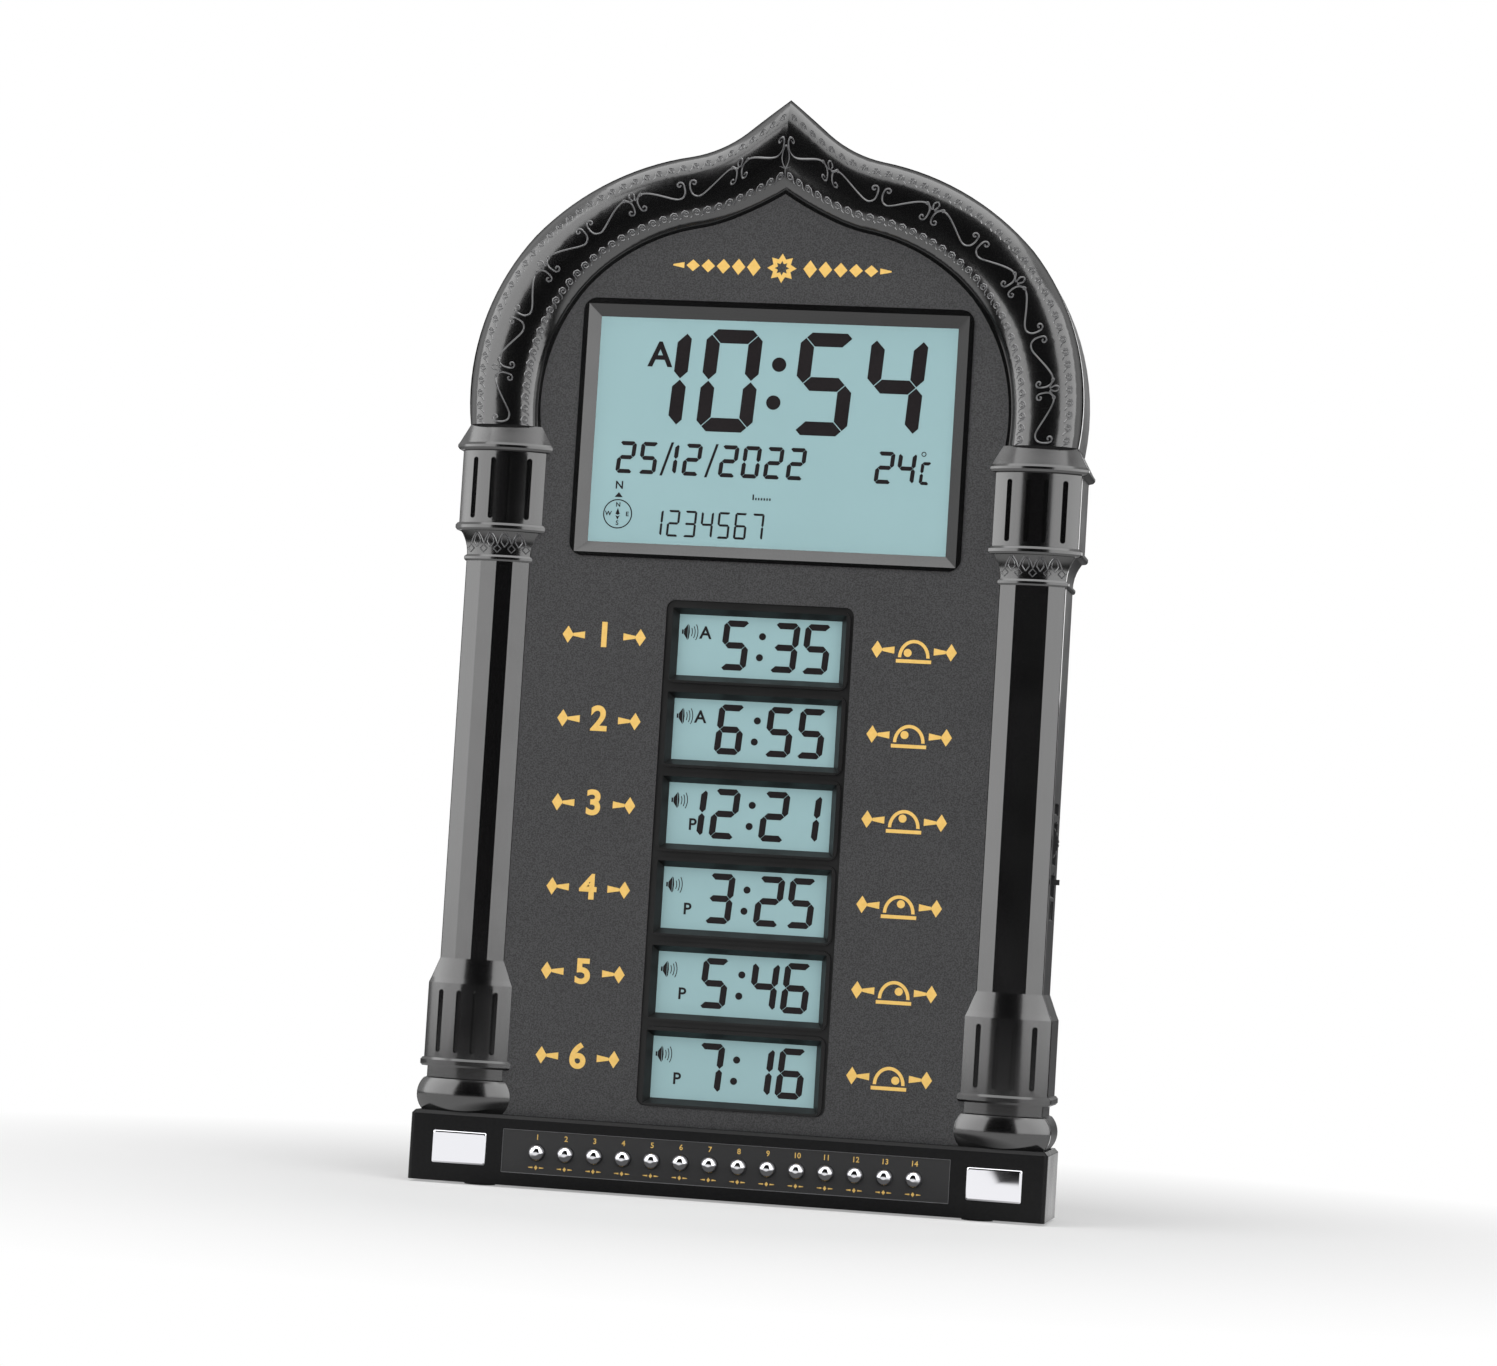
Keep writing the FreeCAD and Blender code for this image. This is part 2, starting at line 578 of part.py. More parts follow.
def rear_case():
    side = side_outline(Y_SEAM)
    edges = side + arch_edges(0.0, Y_SEAM)
    column_top = side[-1].Vertexes[-1].Point
    spring = Vector(ARCH_OUTER[0][0], Y_SEAM, SPRING_Z)
    foot = edges[0].Vertexes[0].Point
    center_low, center_high = Vector(0, Y_SEAM, BASE_TOP), Vector(0, Y_SEAM, HEIGHT)
    edges += [line(column_top, spring), line(foot, center_low), line(center_low, center_high)]
    half = Part.Face(Part.Wire(Part.__sortEdges__(edges))).extrude(Vector(0, Y_BACK - Y_SEAM, 0))
    body = both_sides(half)
    inner_side = CONTROL_WALL - WALL
    body = body.cut(arch_slab(0.17, BASE_TOP + 2, inner_side, Y_SEAM, Y_BACK_INNER))

    posts, cuts = [], []
    for x, z in CASE_SCREWS:
        post, cut = boss(x, z, 1.5)
        posts.append(post)
        cuts.append(cut)
    for x in FOOT_SCREWS:
        posts.append(post_z(3.5, x, FOOT_SCREW_Y, BASE_TOP + 2, BASE_TOP + 11))
        cuts.append(post_z(1.5, x, FOOT_SCREW_Y, BASE_TOP, BASE_TOP + 10))
    posts += [post_y(2.0, 86.5, z, CONTROL_BOARD_Y + BOARD_THICKNESS, Y_BACK_INNER)
              for z in (98.5, 131)]
    body = join([body] + posts)

    door_side = BAY_HALF + DOOR_OVERLAP + DOOR_GAP
    low, high = BAY_BOTTOM - DOOR_OVERLAP - DOOR_GAP, BAY_TOP + DOOR_OVERLAP + DOOR_GAP
    cuts.append(box(-door_side, door_side, Y_BACK_INNER, Y_BACK, low, high))
    cuts.append(rod_x(DOOR_PIN_RADIUS + AXLE_CLEARANCE, -door_side - 1.4, door_side + 1.4,
                      DOOR_PIN_Y, low + 1.4))
    cuts.append(box(-9, 9, Y_BACK_INNER, Y_BACK, high, high + 3.5))
    for row in range(-4, 5):
        z = SPEAKER_Z + row * 5.0
        reach = math.sqrt((SPEAKER_RADIUS - 4) ** 2 - (row * 5.0) ** 2)
        cuts.append(box(-reach, reach, Y_BACK_INNER, Y_BACK, z - 1.0, z + 1.0))
    cuts.append(rod_y(4.5, 0, HANG_Z, Y_BACK_INNER, Y_BACK))
    cuts.append(box(-2.2, 2.2, Y_BACK_INNER, Y_BACK, HANG_Z, HANG_Z + 9.0))
    cuts.append(rod_y(2.2, 0, HANG_Z + 9.0, Y_BACK_INNER, Y_BACK))
    wheel_room = WHEEL_RADIUS - 0.8
    cuts.append(box(inner_side - 1, CONTROL_WALL + 3, -WHEEL_HALF - 0.5, WHEEL_HALF + 0.5,
                    WHEEL_Z - wheel_room, WHEEL_Z + wheel_room))
    cuts.append(box(inner_side - 1, CONTROL_WALL + 3, -1.1, 1.1, *lever_room()))
    cuts.append(rod_x(SOCKET_RADIUS + 0.5, inner_side - 1, CONTROL_WALL + 3, 0, SOCKET_Z))
    cuts += [control_pocket(low, high) for low, high in POCKETS]
    cuts.append(cable_slot(BASE_TOP, BASE_TOP + 2))
    return body.cut(Part.makeCompound(cuts))


def cable_slot(low, high):
    back = MAIN_BOARD_Y + BOARD_THICKNESS
    return box(-49, -37, back - 0.5, back + 0.9, low, high)


def control_pocket(low, high):
    """Shallow pocket in the right wall, with a step at its top and a ramp at its bottom."""
    floor, mouth = CONTROL_WALL - POCKET_DEPTH, CONTROL_WALL + 3
    outline = [(floor, low), (floor, high), (mouth, high), (mouth, low - 1.0),
               (CONTROL_WALL, low - 1.0), (floor, low)]
    face = Part.Face(Part.makePolygon([Vector(x, -POCKET_HALF_WIDTH, z) for x, z in outline]))
    return face.extrude(Vector(0, 2 * POCKET_HALF_WIDTH, 0))


def case_screws():
    screws = []
    for x, z in CASE_SCREWS:
        shank = post_y(1.4, x, z, Y_SEAM + 0.1, Y_BACK - 1.2)
        screws.append(shank.fuse(post_y(2.7, x, z, Y_BACK - 1.2, Y_BACK, HEAD_SIDES)))
    return Part.makeCompound(screws)


def battery_box():
    outer = box(-BAY_HALF - BAY_WALL, BAY_HALF + BAY_WALL, BAY_FLOOR_Y - 1.0, Y_BACK_INNER,
                BAY_BOTTOM - BAY_WALL, BAY_TOP + BAY_WALL)
    inner = box(-BAY_HALF, BAY_HALF, BAY_FLOOR_Y, Y_BACK_INNER, BAY_BOTTOM, BAY_TOP)
    ribs = []
    for low, high in zip(CELL_Z, CELL_Z[1:]):
        middle = (low + high) / 2
        ribs.append(box(-20, 20, BAY_FLOOR_Y, BAY_FLOOR_Y + 3.0, middle - 0.4, middle + 0.4))
    return join([outer.cut(inner)] + ribs)


def battery_door():
    side = BAY_HALF + DOOR_OVERLAP
    low, high = BAY_BOTTOM - DOOR_OVERLAP, BAY_TOP + DOOR_OVERLAP
    pin_z = low + 1.0
    plate = box(-side, side, Y_BACK_INNER + 0.1, Y_BACK, pin_z, high)
    roll = rod_x(0.95, -side, side, DOOR_PIN_Y, pin_z)
    pins = rod_x(DOOR_PIN_RADIUS, -side - 1.4, side + 1.4, DOOR_PIN_Y, pin_z)
    latch = box(-5, 5, Y_BACK_INNER + 0.1, Y_BACK - 0.8, high, high + 2.0)
    door = join([plate, roll, pins, latch])
    grips = [box(-12, 12, Y_BACK - 0.5, Y_BACK, high - 9 - 2.4 * i, high - 8 - 2.4 * i)
             for i in range(4)]
    return door.cut(Part.makeCompound(grips))


def battery_cells():
    cells = []
    for row, z in enumerate(CELL_Z):
        way = 1 if row % 2 == 0 else -1
        shoulder = CELL_LENGTH / 2 - 1.2
        body = post_x(CELL_RADIUS, -CELL_LENGTH / 2, shoulder, CELL_Y, z, CELL_SIDES)
        nub = post_x(2.7, shoulder, CELL_LENGTH / 2, CELL_Y, z, HEAD_SIDES)
        cell = body.fuse(nub)
        cells.append(cell if way == 1 else mirrored(cell))
    return Part.makeCompound(cells)


def battery_springs():
    """Leaf springs that press each cell against its far contact."""
    springs = []
    plate, cell_end = BAY_HALF - 0.5, CELL_LENGTH / 2
    for row, z in enumerate(CELL_Z):
        outline = [(-plate, -4), (-cell_end, 0), (-plate, 4), (-plate, 3.4),
                   (-cell_end - 0.5, 0), (-plate, -3.4), (-plate, -4)]
        face = Part.Face(Part.makePolygon([Vector(x, CELL_Y + y, z - 3) for x, y in outline]))
        spring = face.extrude(Vector(0, 0, 6))
        springs.append(spring if row % 2 == 0 else mirrored(spring))
    return Part.makeCompound(springs)


def battery_contacts():
    plates = []
    for row, z in enumerate(CELL_Z):
        way = 1 if row % 2 == 0 else -1
        for side in (-way, way):
            depth = BAY_HALF - (0.5 if side == -way else BAY_HALF - CELL_LENGTH / 2)
            x0, x1 = sorted((side * BAY_HALF, side * depth))
            plates.append(box(x0, x1, CELL_Y - 4.5, CELL_Y + 4.5, z - 4.5, z + 4.5))
    return Part.makeCompound(plates)


def speaker_frame():
    front = Y_BACK_INNER
    rim = taper_y(SPEAKER_RADIUS, SPEAKER_RADIUS, SPEAKER_Z, front - 1.5, front)
    basket = taper_y(15.0, 26.0, SPEAKER_Z, front - 8.0, front - 1.5)
    magnet = taper_y(15.0, 15.0, SPEAKER_Z, front - 14.0, front - 8.0)
    bowl = taper_y(8.0, 24.5, SPEAKER_Z, front - 8.0, front)
    return join([rim, basket, magnet]).cut(bowl)


def speaker_cone():
    """Paper cone with its dust cap, seated in the frame's bowl."""
    front = Y_BACK_INNER
    shell = taper_y(8.0, 22.4, SPEAKER_Z, front - 8.0, front - 1.0)
    hollow = taper_y(6.0, 21.6, SPEAKER_Z, front - 7.2, front - 1.0)
    return shell.cut(hollow)


def control_board():
    return box(84.0, 98.9, CONTROL_BOARD_Y, CONTROL_BOARD_Y + BOARD_THICKNESS, 96.0, 134.0)


def volume_control():
    body = box(89.0, 98.9, WHEEL_HALF + 0.4, CONTROL_BOARD_Y, WHEEL_Z - 6.5, WHEEL_Z + 6.5)
    return body.cut(rod_y(AXLE_RADIUS + AXLE_CLEARANCE, WHEEL_X, WHEEL_Z,
                          WHEEL_HALF, CONTROL_BOARD_Y - 0.4))


def volume_wheel():
    """Knurled thumbwheel on its stub axle."""
    wheel = rod_y(WHEEL_RADIUS, WHEEL_X, WHEEL_Z, -WHEEL_HALF, WHEEL_HALF)
    axle = rod_y(AXLE_RADIUS, WHEEL_X, WHEEL_Z, WHEEL_HALF, CONTROL_BOARD_Y - 0.7)
    grooves = []
    count = 36
    for i in range(count):
        angle = 2 * math.pi * i / count
        x = WHEEL_X + (WHEEL_RADIUS + 0.15) * math.cos(angle)
        z = WHEEL_Z + (WHEEL_RADIUS + 0.15) * math.sin(angle)
        notch = box(x - 0.35, x + 0.35, -WHEEL_HALF, WHEEL_HALF, z - 0.35, z + 0.35)
        notch.rotate(Vector(x, 0, z), Vector(0, 1, 0), 45 - math.degrees(angle))
        grooves.append(notch)
    return wheel.fuse(axle).cut(Part.makeCompound(grooves))


def lever_room():
    """Lowest and highest point of the slot, with the lever at rest at its lower end."""
    return LEVER_Z - LEVER_HALF - LEVER_GAP, LEVER_Z + LEVER_HALF + LEVER_TRAVEL + LEVER_GAP


def light_switch():
    low, high = lever_room()
    body = box(91.5, 99.3, -3.2, CONTROL_BOARD_Y, low - 1.2, high + 1.2)
    channel = box(95.8, 99.3, -1.1, 1.1, low, high)
    room = box(92.5, 95.8, -2.0, 2.0, low, high)
    return body.cut(channel).cut(room)


def light_switch_lever():
    low, high = LEVER_Z - LEVER_HALF, LEVER_Z + LEVER_HALF
    stem = box(95.2, CONTROL_WALL + 2.2, -0.75, 0.75, low, high)
    shoe = box(93.0, 95.4, -1.6, 1.6, low, high)
    return stem.fuse(shoe).removeSplitter()


def dc_socket():
    body = box(87.0, 99.3, -4.6, CONTROL_BOARD_Y, SOCKET_Z - 4.6, SOCKET_Z + 4.6)
    nose = rod_x(SOCKET_RADIUS + 0.45, 99.3, CONTROL_WALL - 0.3, 0, SOCKET_Z)
    return body.fuse(nose).cut(rod_x(SOCKET_RADIUS, 90.0, CONTROL_WALL, 0, SOCKET_Z))


def base_housing():
    half = BASE_WIDTH / 2
    body = box(-half, half, Y_BASE_FRONT, Y_BASE_BACK, FOOT_PROUD, BASE_TOP)
    upright = [e for e in body.Edges if abs(e.BoundBox.ZLength - (BASE_TOP - FOOT_PROUD)) < 0.01]
    body = body.makeFillet(1.5, upright)
    rim = [e for e in body.Edges if e.BoundBox.ZMin > BASE_TOP - 0.01]
    body = body.makeChamfer(1.2, rim)
    hollow = box(-half + 2.2, half - 2.2, Y_BASE_FRONT + WALL, Y_BASE_BACK - 2.2,
                 FOOT_PROUD, BASE_TOP - 2)
    body = body.cut(hollow)
    posts, cuts = [], []
    for x, y in BASE_SCREWS:
        posts.append(post_z(3.2, x, y, FOOT_PROUD + 2.0, BASE_TOP - 2))
        cuts.append(post_z(1.5, x, y, FOOT_PROUD + 2.0, BASE_TOP - 6))
    for x in (-76, 76):
        posts.append(post_y(2.5, x, BUTTON_Z, Y_BASE_FRONT + WALL, BUTTON_BOARD_Y))
    body = join([body] + posts)
    strip_back = Y_BASE_FRONT + STRIP_DEPTH
    cuts.append(box(-STRIP_HALF, STRIP_HALF, Y_BASE_FRONT - 1, strip_back, STRIP_BOTTOM, STRIP_TOP))
    cuts.append(box(-70, 70, strip_back, Y_BASE_FRONT + WALL, BUTTON_Z - 4.25, BUTTON_Z + 4.25))
    for x0, x1 in (MIRROR_X, (-MIRROR_X[1], -MIRROR_X[0])):
        cuts.append(box(x0, x1, Y_BASE_FRONT - 1, Y_BASE_FRONT + 0.4, *MIRROR_Z))
    cuts += [post_z(1.6, x, FOOT_SCREW_Y, BASE_TOP - 2, BASE_TOP) for x in FOOT_SCREWS]
    cuts.append(cable_slot(BASE_TOP - 2, BASE_TOP))
    return body.cut(Part.makeCompound(cuts))


def base_bottom():
    half = BASE_WIDTH / 2 - 2.2
    plate = box(-half, half, Y_BASE_FRONT + WALL, Y_BASE_BACK - 2.2, FOOT_PROUD, FOOT_PROUD + 2.0)
    cuts = []
    for x, y in BASE_SCREWS:
        cuts.append(post_z(1.6, x, y, FOOT_PROUD, FOOT_PROUD + 2.0))
        cuts.append(post_z(2.9, x, y, FOOT_PROUD, FOOT_PROUD + 1.2, HEAD_SIDES))
    for x, y in foot_places():
        cuts.append(rod_z(FOOT_RADIUS, x, y, FOOT_PROUD, FOOT_PROUD + FOOT_SEAT))
    return plate.cut(Part.makeCompound(cuts))


def foot_places():
    return [(x, y) for x in (-84, 84) for y in (Y_BASE_FRONT + 9, Y_BASE_BACK - 9)]


def rubber_feet():
    """Round rubber pads that sit in shallow seats in the base's bottom."""
    top = FOOT_PROUD + FOOT_SEAT
    return Part.makeCompound([rod_z(FOOT_RADIUS, x, y, 0, top) for x, y in foot_places()])


def base_screws():
    screws = []
    for x, y in BASE_SCREWS:
        head = post_z(2.6, x, y, FOOT_PROUD + 0.1, FOOT_PROUD + 1.2, HEAD_SIDES)
        screws.append(head.fuse(post_z(1.4, x, y, FOOT_PROUD + 1.2, BASE_TOP - 7)))
    return Part.makeCompound(screws)


def foot_screws():
    """Screws that hold the case down on the base, driven from inside the base."""
    screws = []
    for x in FOOT_SCREWS:
        head = post_z(2.7, x, FOOT_SCREW_Y, BASE_TOP - 3.7, BASE_TOP - 2)
        screws.append(head.fuse(post_z(1.4, x, FOOT_SCREW_Y, BASE_TOP - 2, BASE_TOP + 9)))
    return Part.makeCompound(screws)


def button_xs():
    return [(i - (len(BUTTON_NAMES) - 1) / 2) * BUTTON_PITCH for i in range(len(BUTTON_NAMES))]


def button_plate():
    back = Y_BASE_FRONT + STRIP_DEPTH
    plate = box(-STRIP_HALF, STRIP_HALF, back - STRIP_THICKNESS, back, STRIP_BOTTOM, STRIP_TOP)
    holes = [rod_y(BUTTON_RADIUS + BUTTON_CLEARANCE, x, BUTTON_Z, back - STRIP_THICKNESS, back)
             for x in button_xs()]
    return plate.cut(Part.makeCompound(holes))


def button(x):
    """Crowned cap, a square flange behind the strip, and a stem that ends short of its switch."""
    back = Y_BASE_FRONT + STRIP_DEPTH + 0.1
    cap = rod_y(BUTTON_RADIUS, 0, 0, Y_TIP, back)
    rim = [edge for edge in cap.Edges if edge.BoundBox.YMax < Y_TIP + 0.01]
    cap = cap.makeChamfer(BUTTON_CROWN, BUTTON_CROWN_WIDTH, rim)
    flange = box(-3.3, 3.3, back, back + 0.8, -3.3, 3.3)
    stem = box(-1.4, 1.4, back + 0.8, SWITCH_FRONT - BUTTON_TRAVEL - 0.1, -1.4, 1.4)
    solid = join([cap, flange, stem])
    solid.translate(Vector(x, 0, BUTTON_Z))
    return solid


def button_switches():
    switches = []
    for x in button_xs():
        body = box(x - 2.6, x + 2.6, SWITCH_FRONT + 0.5, BUTTON_BOARD_Y,
                   BUTTON_Z - 2.6, BUTTON_Z + 2.6)
        plunger = box(x - 1, x + 1, SWITCH_FRONT, SWITCH_FRONT + 0.5, BUTTON_Z - 1, BUTTON_Z + 1)
        switches.append(body.fuse(plunger))
    return Part.makeCompound(switches)


def button_board():
    return box(-79, 79, BUTTON_BOARD_Y, BUTTON_BOARD_Y + BOARD_THICKNESS, 4.0, 21.0)


def mirror_plate():
    """Bright plate with a bevelled front edge, right-hand one."""
    middle = (MIRROR_X[0] + MIRROR_X[1]) / 2
    half = (MIRROR_X[1] - MIRROR_X[0]) / 2
    z0, z1 = MIRROR_Z
    back = slab(rounded_rectangle(half, z0, z1, 0.6, Y_BASE_FRONT + 0.4, middle),
                -0.4 - MIRROR_PROUD + 0.4)
    bevel = Part.makeLoft([
        rounded_rectangle(half, z0, z1, 0.6, Y_BASE_FRONT - MIRROR_PROUD + 0.4, middle),
        rounded_rectangle(half - 0.7, z0 + 0.7, z1 - 0.7, 0.4, Y_BASE_FRONT - MIRROR_PROUD, middle),
    ], True, True)
    return back.fuse(bevel).removeSplitter()


def ribbon_cable():
    """Flat cable from the main board down through the base top to the button board."""
    y_back = MAIN_BOARD_Y + BOARD_THICKNESS
    down = box(-48, -38, y_back, y_back + 0.4, 12.0, 216.0)
    across = box(-48, -38, BUTTON_BOARD_Y + BOARD_THICKNESS, y_back, 12.0, 12.4)
    return down.fuse(across).removeSplitter()


def save(name, shape):
    if not shape.isValid():
        print("not valid:", name)
    shape.exportStep("parts/" + name + ".step")


right_column = column()
save("arch_moulding", arch())
save("right_column", right_column)
save("left_column", mirrored(right_column))
save("front_panel", panel())
save("main_display_bezel", main_bezel())
save("prayer_display_frame", prayer_frame())
save("main_lcd", box(-61.6, 61.6, MAIN_GLASS_Y, MAIN_GLASS_Y + LCD_THICKNESS, 215.6, 297.4))
for number, row_top in enumerate(prayer_rows(), 1):
    save("prayer_lcd_" + str(number), prayer_lcd(row_top))
save("main_light_guide", main_light_guide())
save("prayer_light_guides", light_guides())
save("connector_strips", connector_strips())
save("main_board", main_board())
save("prayer_board", prayer_board())
save("controller_chips", controller_chips())
save("board_screws", board_screws())
save("rear_case", rear_case())
save("case_screws", case_screws())
save("battery_box", battery_box())
save("battery_door", battery_door())
save("battery_cells", battery_cells())
save("battery_springs", battery_springs())
save("battery_contacts", battery_contacts())
save("speaker_frame", speaker_frame())
save("speaker_cone", speaker_cone())
save("control_board", control_board())
save("volume_control", volume_control())
save("volume_wheel", volume_wheel())
save("light_switch", light_switch())
save("light_switch_lever", light_switch_lever())
save("dc_socket", dc_socket())
save("base_housing", base_housing())
save("base_bottom", base_bottom())
save("rubber_feet", rubber_feet())
save("base_screws", base_screws())
save("foot_screws", foot_screws())
save("button_plate", button_plate())
save("button_board", button_board())
save("button_switches", button_switches())
save("ribbon_cable", ribbon_cable())
save("right_mirror_plate", mirror_plate())
save("left_mirror_plate", mirrored(mirror_plate()))
for button_name, button_x in zip(BUTTON_NAMES, button_xs()):
    save(button_name + "_button", button(button_x))
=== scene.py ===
import json
import math

import bpy
from mathutils import Matrix, Vector


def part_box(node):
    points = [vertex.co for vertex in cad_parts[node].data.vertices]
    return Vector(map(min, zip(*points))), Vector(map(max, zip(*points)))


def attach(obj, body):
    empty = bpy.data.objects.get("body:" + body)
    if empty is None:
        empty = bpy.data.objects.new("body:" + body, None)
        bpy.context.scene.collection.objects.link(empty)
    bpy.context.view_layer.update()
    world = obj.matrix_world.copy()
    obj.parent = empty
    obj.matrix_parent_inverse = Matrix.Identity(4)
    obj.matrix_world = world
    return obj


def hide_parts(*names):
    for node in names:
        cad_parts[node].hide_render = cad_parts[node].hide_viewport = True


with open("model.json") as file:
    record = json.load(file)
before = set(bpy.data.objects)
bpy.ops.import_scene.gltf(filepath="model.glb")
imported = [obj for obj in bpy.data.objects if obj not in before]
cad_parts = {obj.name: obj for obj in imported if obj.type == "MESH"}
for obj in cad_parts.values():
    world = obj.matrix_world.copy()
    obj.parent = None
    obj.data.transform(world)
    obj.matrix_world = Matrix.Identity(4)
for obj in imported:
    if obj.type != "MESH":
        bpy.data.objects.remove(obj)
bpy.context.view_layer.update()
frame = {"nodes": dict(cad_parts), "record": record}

# Sizes below are in millimetres and are turned into metres where a mesh is made
MM = 0.001
BODY = "clock_body"

# Camera and studio. Lamps and rings of the floor are in metres
FOCAL_PX, PHOTO_WIDE = 4068.0, 1497
SENSOR_WIDE = 36.0
CAMERA_PLACE = (227.478, -1349.706, 88.563)
CAMERA_ANGLES = (-3.548, 9.756, 3.506)
CARD_AIM = (0, 0, 0.19)
WHITE = (1, 1, 1, 1)
FILL_LEVEL = 0.12
FRONT_EDGE, FRONT_LEVELS = (-0.75, -0.35), (0.01, 1.0)
BACK_EDGE, BACK_LEVELS = (0.1, 0.6), (1.0, 0.22)
FLOOR_SIZE = 9.0
FLOOR_TONE = (0.82, 0.82, 0.82, 1)
SHADOW_EDGE, SHADOW_SHARES = (0.14, 0.40), (0.35, 1.0)
NEAR_EDGE, NEAR_LEVELS = (0.08, 0.12), (0.12, 0.98)
FAR_EDGE, FAR_LEVELS = (0.55, 0.80), (1.0, 0.03)

# Finishes: how far noise usually swings, the scale of handling and the roughness of every coat
NOISE_SWING = (0.3, 0.7)
HANDLING_SCALE = 60.0
COAT_ROUGHNESS = 0.08

# Planes, read from the frame
PANEL_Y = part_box("front_panel")[0].y
STRIP_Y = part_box("button_plate")[0].y
MAIN_GLASS_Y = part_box("main_lcd")[0].y
SMALL_GLASS_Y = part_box("prayer_lcd_1")[0].y

# Prints: thickness, cap height as a share of the type size, and how far lettering is thickened
PRINT = 0.04
CAP_SHARE = 0.70
LETTER_BOLD = 0.03
NUMERAL_BOLD = 0.045
CAPTION_BOLD = 0.02

# Arch lines: two Bezier spans from the springing to the tip, and the section between them
SPRING_Z = 255.8
ARCH_OUTER = [(103.4, SPRING_Z), (109.5, 311.9), (71.7, 342.6), (32.6, 349.8),
              (17.1, 352.7), (10.0, 362.9), (0.0, 370.0)]
ARCH_INNER = [(79.0, SPRING_Z), (83.0, 297.7), (56.0, 320.7), (27.3, 325.7),
              (21.2, 326.8), (9.1, 332.1), (0.0, 338.0)]
RELIEF_SHARES = (0.01, 0.11, 0.855, 0.955)
RELIEF_DEPTHS = (-12.5, -18.633, -18.633, -12.5)
RUN_STEPS = 240
HALVINGS = 16

# Arch ornament. Places across the moulding run from 0 at its outer edge to 1 at its inner edge
OUTER_BORDER = 0.235
INNER_BORDER = 0.775
SCROLL_RADIUS = 1.45
SCROLL_TURNS = -1.65
SCROLL_PITCH = 4.2
INNER_PITCH = 3.8
VINE_LINE = 0.50
VINE_PITCH = 17.0
VINE_RADIUS = 0.29
LEAF_REACH = 3.4
LEAF_STEM = 1.6
TIP_LEAF_Z = 349.5
FINE_LINE = 0.26
EYE_SHARE = 0.78

# Columns
COLUMN_X = 90.8
TURNING_Y = 9.5
TURNING_AXIS = 22.0
NECK = [(211.6, 11.0), (215.6, 11.6), (219.6, 13.6)]
NECK_PITCH = 4.9
NECK_LINE = 0.24
NECK_SINK = 0.15

# Figures: width, height, stroke and slant
MAIN_DIGIT = (19.2, 34.8, 4.7, 0.065)
SMALL_DIGIT = (9.1, 16.8, 2.15, 0.075)
DATE_DIGIT = (6.1, 10.9, 1.4, 0.085)
DEGREE_DIGIT = (3.7, 7.7, 1.1, 0.085)
PLACE_DIGIT = (4.2, 9.0, 0.75, 0.05)
SEGMENTS = {"0": "abcdef", "1": "bc", "2": "abged", "3": "abgcd", "4": "fgbc", "5": "afgcd",
            "6": "afgedc", "7": "abc", "8": "abcdefg", "9": "abcdfg", "C": "afed"}

# Large display
TIME_FOOT = 257.0
TIME_FIGURES = (("1", -50.7), ("0", -26.4), ("5", 5.8), ("4", 29.8))
TIME_DOTS = ((0.9, 280.5), (-0.3, 267.6))
TIME_DOT = 2.45
DATE_FOOT = 241.7
DATE_FIGURES = (("2", -53.0), ("5", -45.3), ("1", -38.3), ("2", -30.3), ("2", -17.8), ("0", -10.1),
                ("2", -2.4), ("2", 5.3))
DEGREE_FIGURES = (("2", 35.2), ("4", 42.5))
DATE_BARS = (-37.7, -22.4)
DATE_BAR = ((0, 241.4), (0.9, 241.4), (4.4, 252.8), (3.5, 252.8))
DEGREE_C = (50.4, 241.9)
DEGREE_RING = (51.7, 252.2, 0.85, 0.3)
COMPASS = (-51.2, 227.8)
COMPASS_RING = (5.0, 0.38)
COMPASS_LETTER = 1.5
PLACE_LINE = (-40.0, 220.9)
PLACE_PITCH = 5.75
DAY_COUNT = 7
DAY_BARS = (-5.4, 234.4)
DAY_PITCH = 0.95
DAY_BAR = (0.5, 0.8)
FIRST_DAY_HIGH = 1.9
TIME_LETTER = ("A", -39.9, 282.1, 8.3)

# Small displays, from the top of each row
PRAYER_TOP = 194.9
PRAYER_PITCH = 28.3
PRAYER_TIMES = [" 5:35", " 6:55", "12:21", " 3:25", " 5:46", " 7:16"]
PRAYER_FIGURES_X = (-24.6, -13.4, None, 3.4, 14.2)
PRAYER_FOOT = -18.1
PRAYER_DOTS = ((0.9, 11.8), (0.3, 4.7))
PRAYER_DOT = 1.2
SPEAKER_MARK = (-26.6, -5.9)
MORNING_ROWS = 2
MORNING_LETTER = ("A", -18.5, -6.1, 4.1)
EVENING_LETTER = ("P", -19.0, -13.9, 3.8)

# Gold marks. A bar is given as the distances of its thin and thick end from the mark's middle,
# then its height at the thick and at the thin end
MARK_Z = 186.1
MARK_X = 52.6
NUMERAL_HIGH = 8.0
SIDE_BAR = (10.6, 6.6, 2.4, 1.0)
SIDE_LOZENGE = (12.4, 1.9, 2.9)
DAY_ARC_DROP = 2.3
DAY_ARC_OUTER = (5.3, 6.0)
DAY_ARC_INNER = (4.2, 4.9)
DAY_ARC_STEPS = 20
HORIZON = (5.9, -4.1, -2.9)
SUN_PATH = 2.2
SUN_DROP = 1.3
SUN = 1.35
EMBLEM = (0.3, 312.8)
EMBLEM_STAR = (5.0, 3.2)
EMBLEM_HOLE = (2.5, 1.5)
EMBLEM_LOZENGES = 5
EMBLEM_START = 9.6
EMBLEM_PITCH = 5.2
EMBLEM_LOZENGE = (2.3, 3.0)
EMBLEM_TAPER = 0.25
EMBLEM_BAR = (37.2, 33.4, 2.0, 0.5)

